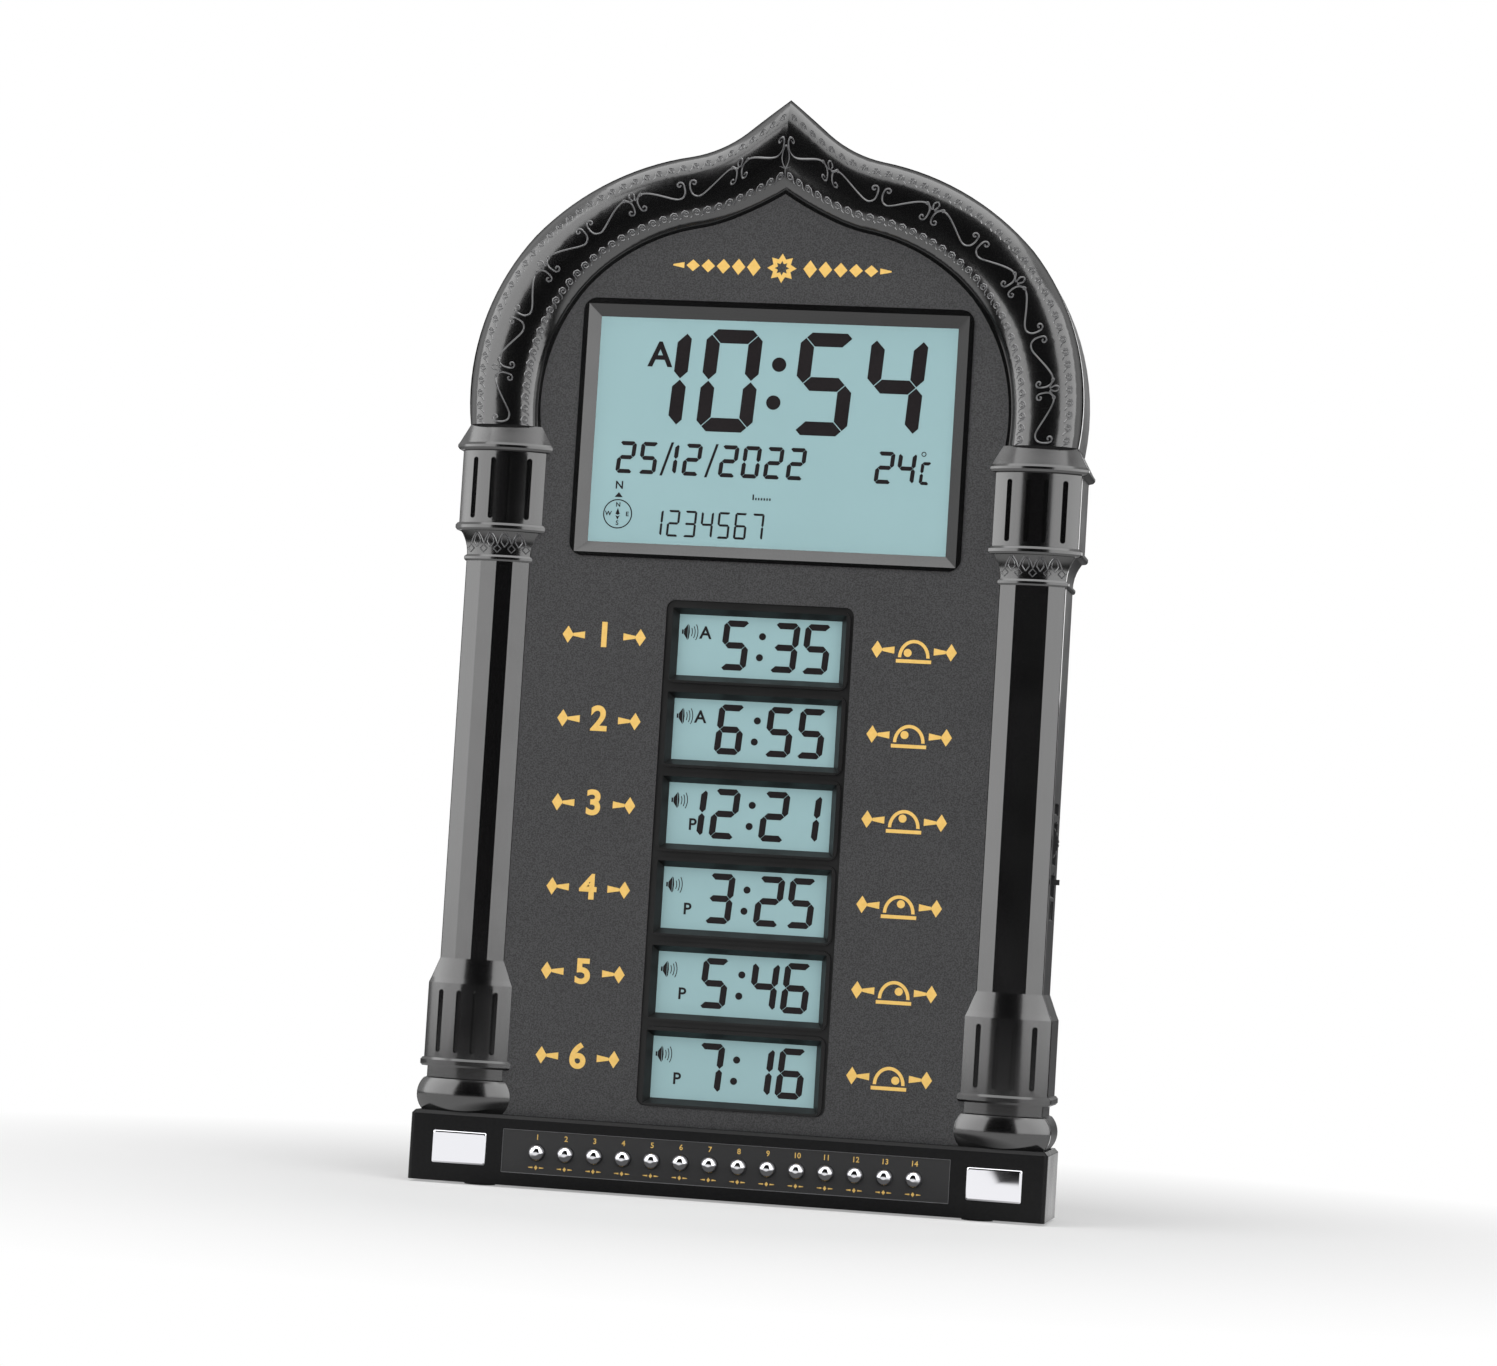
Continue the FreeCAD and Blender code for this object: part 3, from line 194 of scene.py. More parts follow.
# Buttons and strip
BUTTON_COUNT = 14
BUTTON_PITCH = 9.74
BUTTON_RADIUS = 2.75
BUTTON_TIP = -20.0
BUTTON_ROUNDING = 2.1
STRIP = (-75.2, 5.1, 75.2, 19.6)
STRIP_HIGHLIGHT_WIDTH = 0.22
CAPTION_Z = 17.3
CAPTION_HIGH = 1.75
SIGN_Z = 7.3
SIGN_LOZENGE = (0.6, 0.8)
SIGN_BAR = (2.6, 1.1, 0.55, 0.2)

# Softened frame pieces, with angles in degrees
MERGE_REACH = 0.002
FLAT_ANGLE = 0.5
EDGE_ANGLE = 35
BASE_ROUNDING = 0.35
PLATE_ROUNDING = 0.2

# Back
CASE_SCREWS = [(-91, 62), (91, 62), (-91, 235), (91, 235), (-50, 318), (50, 318)]
HEAD_RADIUS = 2.7
HEAD_HIGH = 1.6
HEAD_ROUNDING = 0.45
CROSS_CUT = (3.0, 1.8, 0.65)
SHANK_RADIUS = 1.35


def deselect():
    """Leaves nothing selected, so that an operator acts on what is new."""
    if bpy.context.object and bpy.context.object.mode != "OBJECT":
        bpy.ops.object.mode_set(mode="OBJECT")
    bpy.ops.object.select_all(action="DESELECT")


def take(obj):
    deselect()
    obj.select_set(True)
    bpy.context.view_layer.objects.active = obj
    return obj


def settle(obj):
    """Place and turn go into the mesh, so the object sits at the origin."""
    take(obj)
    bpy.ops.object.transform_apply(location=True, rotation=True, scale=True)
    return obj


def to_mesh(obj):
    take(obj)
    bpy.ops.object.convert(target="MESH")
    return obj


def named(obj, name):
    obj.name = name
    obj.data.name = name
    return obj


def joined(objects, name):
    deselect()
    for obj in objects:
        obj.select_set(True)
    bpy.context.view_layer.objects.active = objects[0]
    if len(objects) > 1:
        bpy.ops.object.join()
    return named(objects[0], name)


def faces_outward(obj):
    take(obj)
    bpy.ops.object.mode_set(mode="EDIT")
    bpy.ops.mesh.select_all(action="SELECT")
    bpy.ops.mesh.normals_make_consistent(inside=False)
    bpy.ops.object.mode_set(mode="OBJECT")
    return obj


def copied(obj, name, matrix):
    """Copy with a mesh of its own, moved or mirrored in the mesh."""
    twin = obj.copy()
    twin.data = obj.data.copy()
    named(twin, name)
    bpy.context.scene.collection.objects.link(twin)
    twin.data.transform(matrix)
    if matrix.determinant() < 0:
        twin.data.flip_normals()
    return twin


def moved(x=0, y=0, z=0):
    return Matrix.Translation(Vector((x, y, z)) * MM)


MIRROR_X = Matrix.Diagonal((-1, 1, 1, 1))


def dressed(obj, material, smooth=None, body=BODY):
    """Gives a finished piece its material, slot and body."""
    obj.data.materials.clear()
    obj.data.materials.append(material)
    if smooth is not None:
        take(obj)
        bpy.ops.object.shade_smooth_by_angle(angle=math.radians(smooth))
    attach(obj, body)
    return obj


def add_camera():
    """Long lens at the photograph's place: from the right and below the middle, rolled a little."""
    tilt, turn, roll = (math.radians(angle) for angle in CAMERA_ANGLES)
    around_x = Matrix.Rotation(tilt, 3, "X")
    around_y = Matrix.Rotation(turn, 3, "Y")
    around_z = Matrix.Rotation(roll, 3, "Z")
    look_along_y = Matrix(((1, 0, 0), (0, 0, -1), (0, 1, 0)))
    right, down, ahead = around_z @ around_x @ around_y @ look_along_y
    data = bpy.data.cameras.new("camera")
    data.sensor_fit = "HORIZONTAL"
    data.sensor_width = SENSOR_WIDE
    data.lens = FOCAL_PX / PHOTO_WIDE * SENSOR_WIDE
    data.clip_start = 0.05
    data.clip_end = 30.0
    camera = bpy.data.objects.new("camera", data)
    turned = Matrix((right, -down, -ahead)).transposed().to_4x4()
    camera.matrix_world = moved(*CAMERA_PLACE) @ turned
    bpy.context.scene.collection.objects.link(camera)
    bpy.context.scene.camera = camera


def add_card(name, place, size, radiance):
    """Soft rectangular lamp, of an even brightness, that faces the middle of the object."""
    data = bpy.data.lights.new(name, "AREA")
    data.shape = "RECTANGLE"
    data.size, data.size_y = size
    data.energy = radiance * math.pi * size[0] * size[1]
    lamp = bpy.data.objects.new(name, data)
    facing = (Vector(CARD_AIM) - Vector(place)).to_track_quat("-Z", "Y").to_matrix().to_4x4()
    lamp.matrix_world = Matrix.Translation(Vector(place)) @ facing
    lamp.visible_camera = False
    bpy.context.scene.collection.objects.link(lamp)


def add_lights():
    """Cards at both sides and above, with a dark gap in front that keeps gloss faces black."""
    add_card("left_card", (-1.05, -0.90, 0.42), (1.25, 1.5), 2.2)
    add_card("right_card", (0.98, -1.02, 0.42), (1.25, 1.5), 2.2)
    add_card("top_card", (0.0, -0.45, 1.35), (1.7, 1.3), 1.7)
    add_card("back_card", (0.2, 1.5, 0.7), (1.2, 0.9), 1.4)


def remapped(tree, value, span, levels):
    """Value carried from one span to two levels, and held at them outside the span."""
    node = tree.nodes.new("ShaderNodeMapRange")
    for label, number in zip(("From Min", "From Max", "To Min", "To Max"), (*span, *levels)):
        node.inputs[label].default_value = number
    tree.links.new(value, node.inputs["Value"])
    return node.outputs["Result"]


def combined(tree, operation, first, second):
    node = tree.nodes.new("ShaderNodeMath")
    node.operation = operation
    tree.links.new(first, node.inputs[0])
    tree.links.new(second, node.inputs[1])
    return node.outputs[0]


def mixed_shaders(tree, share, first, second):
    node = tree.nodes.new("ShaderNodeMixShader")
    tree.links.new(share, node.inputs[0])
    tree.links.new(first, node.inputs[1])
    tree.links.new(second, node.inputs[2])
    return node.outputs[0]


def add_world():
    """White to the camera. Reflections find it bright above and at the sides, dim in front."""
    world = bpy.data.worlds.new("studio")
    bpy.context.scene.world = world
    world.use_nodes = True
    tree = world.node_tree
    nodes, links = tree.nodes, tree.links
    nodes.clear()
    where = nodes.new("ShaderNodeTexCoord")
    split = nodes.new("ShaderNodeSeparateXYZ")
    links.new(where.outputs["Generated"], split.inputs[0])
    front = remapped(tree, split.outputs["Y"], FRONT_EDGE, FRONT_LEVELS)
    behind = remapped(tree, split.outputs["Y"], BACK_EDGE, BACK_LEVELS)
    path = nodes.new("ShaderNodeLightPath")
    seen = combined(tree, "MAXIMUM", path.outputs["Is Camera Ray"],
                    path.outputs["Is Transmission Ray"])
    unseen = nodes.new("ShaderNodeMix")
    unseen.inputs[2].default_value = FILL_LEVEL
    links.new(path.outputs["Is Glossy Ray"], unseen.inputs["Factor"])
    links.new(combined(tree, "MULTIPLY", front, behind), unseen.inputs[3])
    light = nodes.new("ShaderNodeBackground")
    light.inputs["Color"].default_value = WHITE
    links.new(combined(tree, "MAXIMUM", seen, unseen.outputs[0]), light.inputs["Strength"])
    out = nodes.new("ShaderNodeOutputWorld")
    links.new(light.outputs[0], out.inputs["Surface"])


def add_floor():
    """Pale floor, white to the camera apart from the shadow. Reflections see a white ring of it."""
    deselect()
    bpy.ops.mesh.primitive_plane_add(size=FLOOR_SIZE, location=(0, 0, 0))
    floor = settle(named(bpy.context.object, "floor"))
    material = bpy.data.materials.new("pale_floor")
    material.use_nodes = True
    tree = material.node_tree
    tree.nodes.clear()
    nodes, links = tree.nodes, tree.links
    cloth = nodes.new("ShaderNodeBsdfDiffuse")
    cloth.inputs["Color"].default_value = FLOOR_TONE
    white = nodes.new("ShaderNodeEmission")
    white.inputs["Color"].default_value = WHITE
    where = nodes.new("ShaderNodeTexCoord")
    distance = nodes.new("ShaderNodeVectorMath")
    distance.operation = "LENGTH"
    links.new(where.outputs["Object"], distance.inputs[0])
    reach = distance.outputs["Value"]
    path = nodes.new("ShaderNodeLightPath")
    share = combined(tree, "MULTIPLY", path.outputs["Is Camera Ray"],
                     remapped(tree, reach, SHADOW_EDGE, SHADOW_SHARES))
    direct = mixed_shaders(tree, share, cloth.outputs[0], white.outputs[0])
    ring = combined(tree, "MULTIPLY", remapped(tree, reach, NEAR_EDGE, NEAR_LEVELS),
                    remapped(tree, reach, FAR_EDGE, FAR_LEVELS))
    mirrored = nodes.new("ShaderNodeEmission")
    mirrored.inputs["Color"].default_value = WHITE
    links.new(ring, mirrored.inputs["Strength"])
    either = mixed_shaders(tree, path.outputs["Is Glossy Ray"], direct, mirrored.outputs[0])
    out = nodes.new("ShaderNodeOutputMaterial")
    links.new(either, out.inputs["Surface"])
    floor.data.materials.append(material)


def value_group(name, inputs, output):
    """Node group with a vector, float inputs and one float output, and its two end nodes."""
    tree = bpy.data.node_groups.new(name, "ShaderNodeTree")
    tree.interface.new_socket("Vector", in_out="INPUT", socket_type="NodeSocketVector")
    for label in inputs:
        tree.interface.new_socket(label, in_out="INPUT", socket_type="NodeSocketFloat")
    tree.interface.new_socket(output, in_out="OUTPUT", socket_type="NodeSocketFloat")
    return tree, tree.nodes.new("NodeGroupInput"), tree.nodes.new("NodeGroupOutput")


def noise_in(tree, start, detail):
    noise = tree.nodes.new("ShaderNodeTexNoise")
    noise.inputs["Detail"].default_value = detail
    tree.links.new(start.outputs["Vector"], noise.inputs["Vector"])
    tree.links.new(start.outputs["Scale"], noise.inputs["Scale"])
    return noise


def make_grain_group():
    """Height of a moulded or sprayed grain."""
    tree, start, end = value_group("grain_height", ["Scale"], "Height")
    fine = noise_in(tree, start, 3.0)
    tree.links.new(fine.outputs[0], end.inputs["Height"])
    return tree


def make_rough_group():
    """Roughness that wanders between two values, as handling leaves it."""
    tree, start, end = value_group("rough_wander", ["Scale", "Low", "High"], "Roughness")
    cloud = noise_in(tree, start, 4.0)
    span = tree.nodes.new("ShaderNodeMapRange")
    span.inputs["From Min"].default_value = NOISE_SWING[0]
    span.inputs["From Max"].default_value = NOISE_SWING[1]
    tree.links.new(cloud.outputs[0], span.inputs["Value"])
    tree.links.new(start.outputs["Low"], span.inputs["To Min"])
    tree.links.new(start.outputs["High"], span.inputs["To Max"])
    tree.links.new(span.outputs["Result"], end.inputs["Roughness"])
    return tree


def make_tint_group():
    """Mask of faint darker and lighter specks or patches."""
    tree, start, end = value_group("tint_mask", ["Scale", "Contrast"], "Mask")
    cloud = noise_in(tree, start, 2.0)
    centre = tree.nodes.new("ShaderNodeMath")
    centre.operation = "SUBTRACT"
    centre.inputs[1].default_value = 0.5
    tree.links.new(cloud.outputs[0], centre.inputs[0])
    gain = tree.nodes.new("ShaderNodeMath")
    gain.operation = "MULTIPLY_ADD"
    gain.inputs[2].default_value = 0.5
    gain.use_clamp = True
    tree.links.new(centre.outputs[0], gain.inputs[0])
    tree.links.new(start.outputs["Contrast"], gain.inputs[1])
    tree.links.new(gain.outputs[0], end.inputs["Mask"])
    return tree


GRAIN = make_grain_group()
ROUGH = make_rough_group()
TINT = make_tint_group()


def use_group(tree, group, vector, **values):
    node = tree.nodes.new("ShaderNodeGroup")
    node.node_tree = group
    tree.links.new(vector, node.inputs["Vector"])
    for label, value in values.items():
        node.inputs[label].default_value = value
    return node.outputs[0]


def surface(name, dark, light, rough, metallic=0.0, coat=0.0, specular=0.5,
            tint=(900.0, 1.5), grain=None):
    """Finish with two close tints, wandering roughness and, where given, a grain."""
    material = bpy.data.materials.new(name)
    material.use_nodes = True
    tree = material.node_tree
    tree.nodes.clear()
    out = tree.nodes.new("ShaderNodeOutputMaterial")
    shader = tree.nodes.new("ShaderNodeBsdfPrincipled")
    tree.links.new(shader.outputs[0], out.inputs["Surface"])
    shader.inputs["Metallic"].default_value = metallic
    shader.inputs["Coat Weight"].default_value = coat
    shader.inputs["Coat Roughness"].default_value = COAT_ROUGHNESS
    shader.inputs["Specular IOR Level"].default_value = specular
    where = tree.nodes.new("ShaderNodeTexCoord").outputs["Object"]
    mask = use_group(tree, TINT, where, Scale=tint[0], Contrast=tint[1])
    colour = tree.nodes.new("ShaderNodeMix")
    colour.data_type = "RGBA"
    colour.inputs[6].default_value = (*dark, 1)
    colour.inputs[7].default_value = (*light, 1)
    tree.links.new(mask, colour.inputs["Factor"])
    tree.links.new(colour.outputs[2], shader.inputs["Base Color"])
    wander = use_group(tree, ROUGH, where, Scale=HANDLING_SCALE, Low=rough[0], High=rough[1])
    tree.links.new(wander, shader.inputs["Roughness"])
    if grain:
        scale, strength, depth = grain
        bump = tree.nodes.new("ShaderNodeBump")
        bump.inputs["Strength"].default_value = strength
        bump.inputs["Distance"].default_value = depth
        tree.links.new(use_group(tree, GRAIN, where, Scale=scale), bump.inputs["Height"])
        tree.links.new(bump.outputs[0], shader.inputs["Normal"])
    return material


def grey(level):
    return (level, level, level * 1.04)


FINISHES = {
    "black_gloss": surface("satin_black_moulding", grey(0.002), grey(0.0035), (0.15, 0.19),
                           coat=0.6, specular=1.0, grain=(1800.0, 0.03, 0.00003)),
    "panel_grey": surface("grained_grey_panel", grey(0.016), grey(0.048), (0.48, 0.58),
                          tint=(2300.0, 4.0), grain=(2100.0, 0.35, 0.00012)),
    "bezel_black": surface("bezel_black", grey(0.002), grey(0.0035), (0.17, 0.21), coat=0.2,
                           specular=0.7),
    "lcd_glass": surface("display_glass", (0.290, 0.442, 0.462), (0.308, 0.466, 0.486),
                         (0.22, 0.26), specular=0.3, tint=(25.0, 1.6)),
    "diffuser_white": surface("milky_diffuser", grey(0.80), grey(0.85), (0.4, 0.5)),
    "soft_black": surface("matte_rubber", grey(0.018), grey(0.026), (0.7, 0.8),
                          grain=(3000.0, 0.2, 0.0001)),
    "circuit_board": surface("green_board", (0.02, 0.12, 0.05), (0.03, 0.16, 0.07), (0.35, 0.5)),
    "chip_black": surface("chip_epoxy", grey(0.016), grey(0.024), (0.45, 0.6),
                          grain=(3000.0, 0.15, 0.0001)),
    "bright_steel": surface("plated_steel", grey(0.52), grey(0.60), (0.25, 0.36), metallic=1.0),
    "case_black": surface("spark_textured_black", grey(0.016), grey(0.030), (0.48, 0.58),
                          specular=0.25, tint=(1800.0, 2.4), grain=(1700.0, 0.35, 0.00014)),
    "cell_wrap": surface("cell_sleeve", (0.04, 0.045, 0.07), (0.05, 0.055, 0.08), (0.2, 0.3)),
    "strip_grey": surface("printed_strip", grey(0.016), grey(0.020), (0.34, 0.42),
                          tint=(1500.0, 1.2), grain=(2600.0, 0.08, 0.00006)),
    "mirror_chrome": surface("mirror_chrome", grey(0.86), grey(0.90), (0.03, 0.06),
                             metallic=1.0, tint=(40.0, 1.0)),
    "button_chrome": surface("button_chrome", grey(0.72), grey(0.80), (0.05, 0.09),
                             metallic=1.0, tint=(60.0, 1.0)),
    "cable_grey": surface("ribbon_insulation", grey(0.45), grey(0.52), (0.45, 0.55)),
}
SMALL_FRAME_BLACK = surface("small_frame_black", grey(0.002), grey(0.0035), (0.38, 0.44),
                            specular=0.45)
BASE_GLOSS = surface("deep_black_base", grey(0.006), grey(0.009), (0.20, 0.26), specular=0.15,
                     grain=(1800.0, 0.03, 0.00003))
GOLD = surface("gold_print", (0.74, 0.46, 0.11), (0.82, 0.54, 0.16), (0.42, 0.52), specular=0.4)
FINE_GOLD = surface("fine_gold_print", (0.56, 0.35, 0.08), (0.63, 0.41, 0.11), (0.45, 0.55))
SEGMENT_INK = surface("display_segments", (0.010, 0.008, 0.009), (0.014, 0.011, 0.012),
                      (0.35, 0.45), specular=0.2)
# Light grey line round the button strip: a painted highlight of the strip's edge
STRIP_EDGE_HIGHLIGHT = surface("painted_strip_edge_highlight", grey(0.10), grey(0.14), (0.3, 0.4))
# Raised ornament lines: a lighter grey than the black moulding they are part of, which is a painted
# highlight on the relief
PAINTED_RIDGE_HIGHLIGHT = surface("raised_line_painted_highlight", grey(0.070), grey(0.095), (0.15, 0.19), coat=0.6,
                      specular=1.0)


def dress_frame():
    """Every piece of the frame gets the finish of its slot, and the small frame a duller black."""
    for part in frame["record"]["subparts"]:
        node = frame["nodes"][part["node"]]
        node.data.materials.clear()
        node.data.materials.append(FINISHES[part["material_slot"]])
    small_frame = frame["nodes"]["prayer_display_frame"]
    small_frame.data.materials.clear()
    small_frame.data.materials.append(SMALL_FRAME_BLACK)


def facing_front(obj, y):
    """A mesh drawn flat in X and Y is stood up to face the front at depth y, in metres."""
    obj.rotation_euler = (math.pi / 2, 0, 0)
    obj.location = (0, y, 0)
    return settle(obj)


def printed(name, outlines, y):
    """Thin printed shapes from outlines of (x, z) on the plane y."""
    curve = bpy.data.curves.new(name, "CURVE")
    curve.dimensions = "2D"
    curve.fill_mode = "BOTH"
    curve.extrude = PRINT / 2 * MM
    for outline in outlines:
        spline = curve.splines.new("POLY")
        spline.points.add(len(outline) - 1)
        spline.use_cyclic_u = True
        for point, (x, z) in zip(spline.points, outline):
            point.co = (x * MM, z * MM, 0, 1)
    obj = bpy.data.objects.new(name, curve)
    bpy.context.scene.collection.objects.link(obj)
    return facing_front(to_mesh(obj), y - PRINT / 2 * MM)


def lettered(name, marks, y, bold=0.0):
    """Plain numerals and letters, each given as (text, x, z, cap height)."""
    pieces = []
    for text, x, z, cap in marks:
        deselect()
        bpy.ops.object.text_add(location=(x * MM, z * MM, 0))
        obj = bpy.context.object
        obj.data.body = text
        obj.data.size = cap / CAP_SHARE * MM
        obj.data.align_x = "CENTER"
        obj.data.align_y = "CENTER"
        obj.data.offset = bold * cap * MM
        obj.data.extrude = PRINT / 2 * MM
        pieces.append(settle(to_mesh(obj)))
    return facing_front(joined(pieces, name), y - PRINT / 2 * MM)


def disc(x, z, radius, sides=24):
    angles = [2 * math.pi * i / sides for i in range(sides)]
    return [(x + radius * math.cos(a), z + radius * math.sin(a)) for a in angles]


def rectangle(x0, z0, x1, z1):
    return [(x0, z0), (x1, z0), (x1, z1), (x0, z1)]


def lozenge(x, z, half_wide, half_high):
    return [(x - half_wide, z), (x, z - half_high), (x + half_wide, z), (x, z + half_high)]


def star(x, z, outer, inner, points=8):
    turns = [math.pi * i / points for i in range(2 * points)]
    reach = [outer if i % 2 == 0 else inner for i in range(2 * points)]
    return [(x + r * math.sin(a), z + r * math.cos(a)) for a, r in zip(turns, reach)]


def digit_shapes(char, x, z, sizes):
    """Slanted seven-segment figure whose foot stands at (x, z)."""
    wide, high, stroke, slant = sizes
    gap = stroke * 0.045
    cut = stroke * 0.72
    half = stroke / 2
    mid = high / 2
    top = [(cut + gap, high), (wide - cut - gap, high), (wide - cut / 2 - gap, high - cut / 2),
           (wide - stroke - gap, high - stroke), (stroke + gap, high - stroke),
           (cut / 2 + gap, high - cut / 2)]
    left = [(0, high - cut - gap), (cut / 2, high - cut / 2 - gap), (stroke, high - stroke - gap),
            (stroke, mid + half + gap), (half, mid + gap), (0, mid + half + gap)]
    bar = [(half + gap, mid), (stroke + gap, mid + half), (wide - stroke - gap, mid + half),
           (wide - half - gap, mid), (wide - stroke - gap, mid - half), (stroke + gap, mid - half)]
    right = [(wide - u, v) for u, v in left]
    shapes = {"a": top, "f": left, "b": right, "g": bar,
              "d": [(u, high - v) for u, v in top],
              "e": [(u, high - v) for u, v in left],
              "c": [(u, high - v) for u, v in right]}
    return [[(x + u + slant * v, z + v) for u, v in shapes[s]] for s in SEGMENTS[char]]


def ring_shape(x, z, radius, line):
    return [disc(x, z, radius, 40), disc(x, z, radius - line, 40)]


def compass_shapes(x, z):
    """Ring with a needle in it and a pointer over it."""
    needle = [[(x, z + 2.0), (x - 0.75, z), (x, z - 0.35), (x + 0.75, z)],
              [(x - 0.75, z - 0.5), (x, z - 0.85), (x + 0.75, z - 0.5), (x, z - 2.0)]]
    pointer = [(x - 1.4, z + 5.7), (x + 1.4, z + 5.7), (x, z + 7.4)]
    return ring_shape(x, z, *COMPASS_RING) + [pointer] + needle


def compass_letters(x, z):
    ring = [("N", x, z + 3.1), ("S", x, z - 3.1), ("E", x + 3.3, z), ("W", x - 3.2, z)]
    return [("N", x, z + 9.7, 2.6)] + [(*letter, COMPASS_LETTER) for letter in ring]


def main_display():
    """Time, date, temperature, compass and a counting line on the large display."""
    shapes = []
    for char, x in TIME_FIGURES:
        shapes += digit_shapes(char, x, TIME_FOOT, MAIN_DIGIT)
    shapes += [disc(x, z, TIME_DOT) for x, z in TIME_DOTS]
    for char, x in DATE_FIGURES:
        shapes += digit_shapes(char, x, DATE_FOOT, DATE_DIGIT)
    shapes += [[(x + u, z) for u, z in DATE_BAR] for x in DATE_BARS]
    for char, x in DEGREE_FIGURES:
        shapes += digit_shapes(char, x, DATE_FOOT, DATE_DIGIT)
    shapes += digit_shapes("C", *DEGREE_C, DEGREE_DIGIT)
    shapes += ring_shape(*DEGREE_RING)
    shapes += compass_shapes(*COMPASS)
    for i in range(DAY_COUNT):
        shapes += digit_shapes(str(i + 1), PLACE_LINE[0] + PLACE_PITCH * i, PLACE_LINE[1],
                               PLACE_DIGIT)
        x, z = DAY_BARS[0] + DAY_PITCH * i, DAY_BARS[1]
        high = FIRST_DAY_HIGH if i == 0 else DAY_BAR[1]
        shapes.append(rectangle(x, z, x + DAY_BAR[0], z + high))
    dressed(printed("main_display_figures", shapes, MAIN_GLASS_Y), SEGMENT_INK)
    letters = [TIME_LETTER] + compass_letters(*COMPASS)
    dressed(lettered("main_display_letters", letters, MAIN_GLASS_Y, LETTER_BOLD),
            SEGMENT_INK)


def arc_band(x, z, radius, line, half_angle):
    """Curved bar that opens to the left, as a sound wave."""
    angles = [half_angle * (i / 4 - 1) for i in range(9)]
    out = [(x + radius * math.cos(a), z + radius * math.sin(a)) for a in angles]
    back = [(x + (radius - line) * math.cos(a), z + (radius - line) * math.sin(a))
            for a in reversed(angles)]
    return out + back


def speaker_mark(x, z):
    """Small loudspeaker with three waves."""
    shapes = [rectangle(x, z - 0.75, x + 0.55, z + 0.75),
              [(x + 0.7, z - 0.8), (x + 2.0, z - 2.7), (x + 2.0, z + 2.7), (x + 0.7, z + 0.8)],
              [(x + 2.15, z - 2.75), (x + 2.5, z - 2.0), (x + 2.7, z), (x + 2.5, z + 2.0),
               (x + 2.15, z + 2.75)]]
    for i in range(3):
        shapes.append(arc_band(x - 0.2, z, 3.9 + 0.95 * i, 0.28, 0.38 + 0.05 * i))
    return shapes


def prayer_displays():
    """Slanted times with a loudspeaker and a plain letter on each small display."""
    shapes, letters = [], []
    for row, time in enumerate(PRAYER_TIMES):
        top = PRAYER_TOP - PRAYER_PITCH * row
        foot = top + PRAYER_FOOT
        for char, x in zip(time, PRAYER_FIGURES_X):
            if char not in " :":
                shapes += digit_shapes(char, x, foot, SMALL_DIGIT)
        shapes += [disc(x, foot + up, PRAYER_DOT, 18) for x, up in PRAYER_DOTS]
        shapes += speaker_mark(SPEAKER_MARK[0], top + SPEAKER_MARK[1])
        letter, x, down, cap = MORNING_LETTER if row < MORNING_ROWS else EVENING_LETTER
        letters.append((letter, x, top + down, cap))
    dressed(printed("prayer_display_figures", shapes, SMALL_GLASS_Y), SEGMENT_INK)
    dressed(lettered("prayer_display_letters", letters, SMALL_GLASS_Y, LETTER_BOLD),
            SEGMENT_INK)


def side_bar(x, z, side, sizes):
    """Tapered bar at one side of a mark, with its thick end inwards."""
    thin_at, thick_at, thick, thin = sizes
    far, near = x + side * thin_at, x + side * thick_at
    return [(far, z - thin / 2), (near, z - thick / 2), (near, z + thick / 2), (far, z + thin / 2)]


def sun_mark(x, z, row):
    """Sun on its way across the day arc, lower in the first and last rows, over the horizon."""
    arc = [math.pi * i / DAY_ARC_STEPS for i in range(DAY_ARC_STEPS + 1)]
    foot = z - DAY_ARC_DROP
    outer = [(x - DAY_ARC_OUTER[0] * math.cos(a), foot + DAY_ARC_OUTER[1] * math.sin(a))
             for a in arc]
    inner = [(x - DAY_ARC_INNER[0] * math.cos(a), foot + DAY_ARC_INNER[1] * math.sin(a))
             for a in reversed(arc)]
    half, low, high = HORIZON
    day = math.pi * (row + 0.5) / len(PRAYER_TIMES)
    sun = disc(x - SUN_PATH * math.cos(day), z - SUN_DROP + SUN_PATH * math.sin(day), SUN, 18)
    return [outer + inner, rectangle(x - half, z + low, x + half, z + high), sun]


def emblem():
    """Eight-pointed star between rows of shrinking lozenges."""
    x, z = EMBLEM
    shapes = [star(x, z, *EMBLEM_STAR), star(x, z, *EMBLEM_HOLE)]
    half_wide, half_high = EMBLEM_LOZENGE
    for side in (-1, 1):
        for step in range(EMBLEM_LOZENGES):
            shapes.append(lozenge(x + side * (EMBLEM_START + EMBLEM_PITCH * step), z, half_wide,
                                  half_high - EMBLEM_TAPER * step))
        shapes.append(side_bar(x, z, side, EMBLEM_BAR))
    return shapes


def panel_marks():
    """Gold marks: numerals at the left, a sun on its day arc at the right, a star above."""
    shapes, numerals = [], []
    away, half_wide, half_high = SIDE_LOZENGE
    for row in range(len(PRAYER_TIMES)):
        z = MARK_Z - PRAYER_PITCH * row
        numerals.append((str(row + 1), -MARK_X, z, NUMERAL_HIGH))
        for side in (-1, 1):
            for x in (-MARK_X, MARK_X):
                shapes.append(side_bar(x, z, side, SIDE_BAR))
                shapes.append(lozenge(x + side * away, z, half_wide, half_high))
        shapes += sun_mark(MARK_X, z, row)
    shapes += emblem()
    dressed(printed("gold_panel_marks", shapes, PANEL_Y), GOLD)
    dressed(lettered("gold_panel_numerals", numerals, PANEL_Y, NUMERAL_BOLD), GOLD)


def button_x(i):
    return (i - (BUTTON_COUNT - 1) / 2) * BUTTON_PITCH


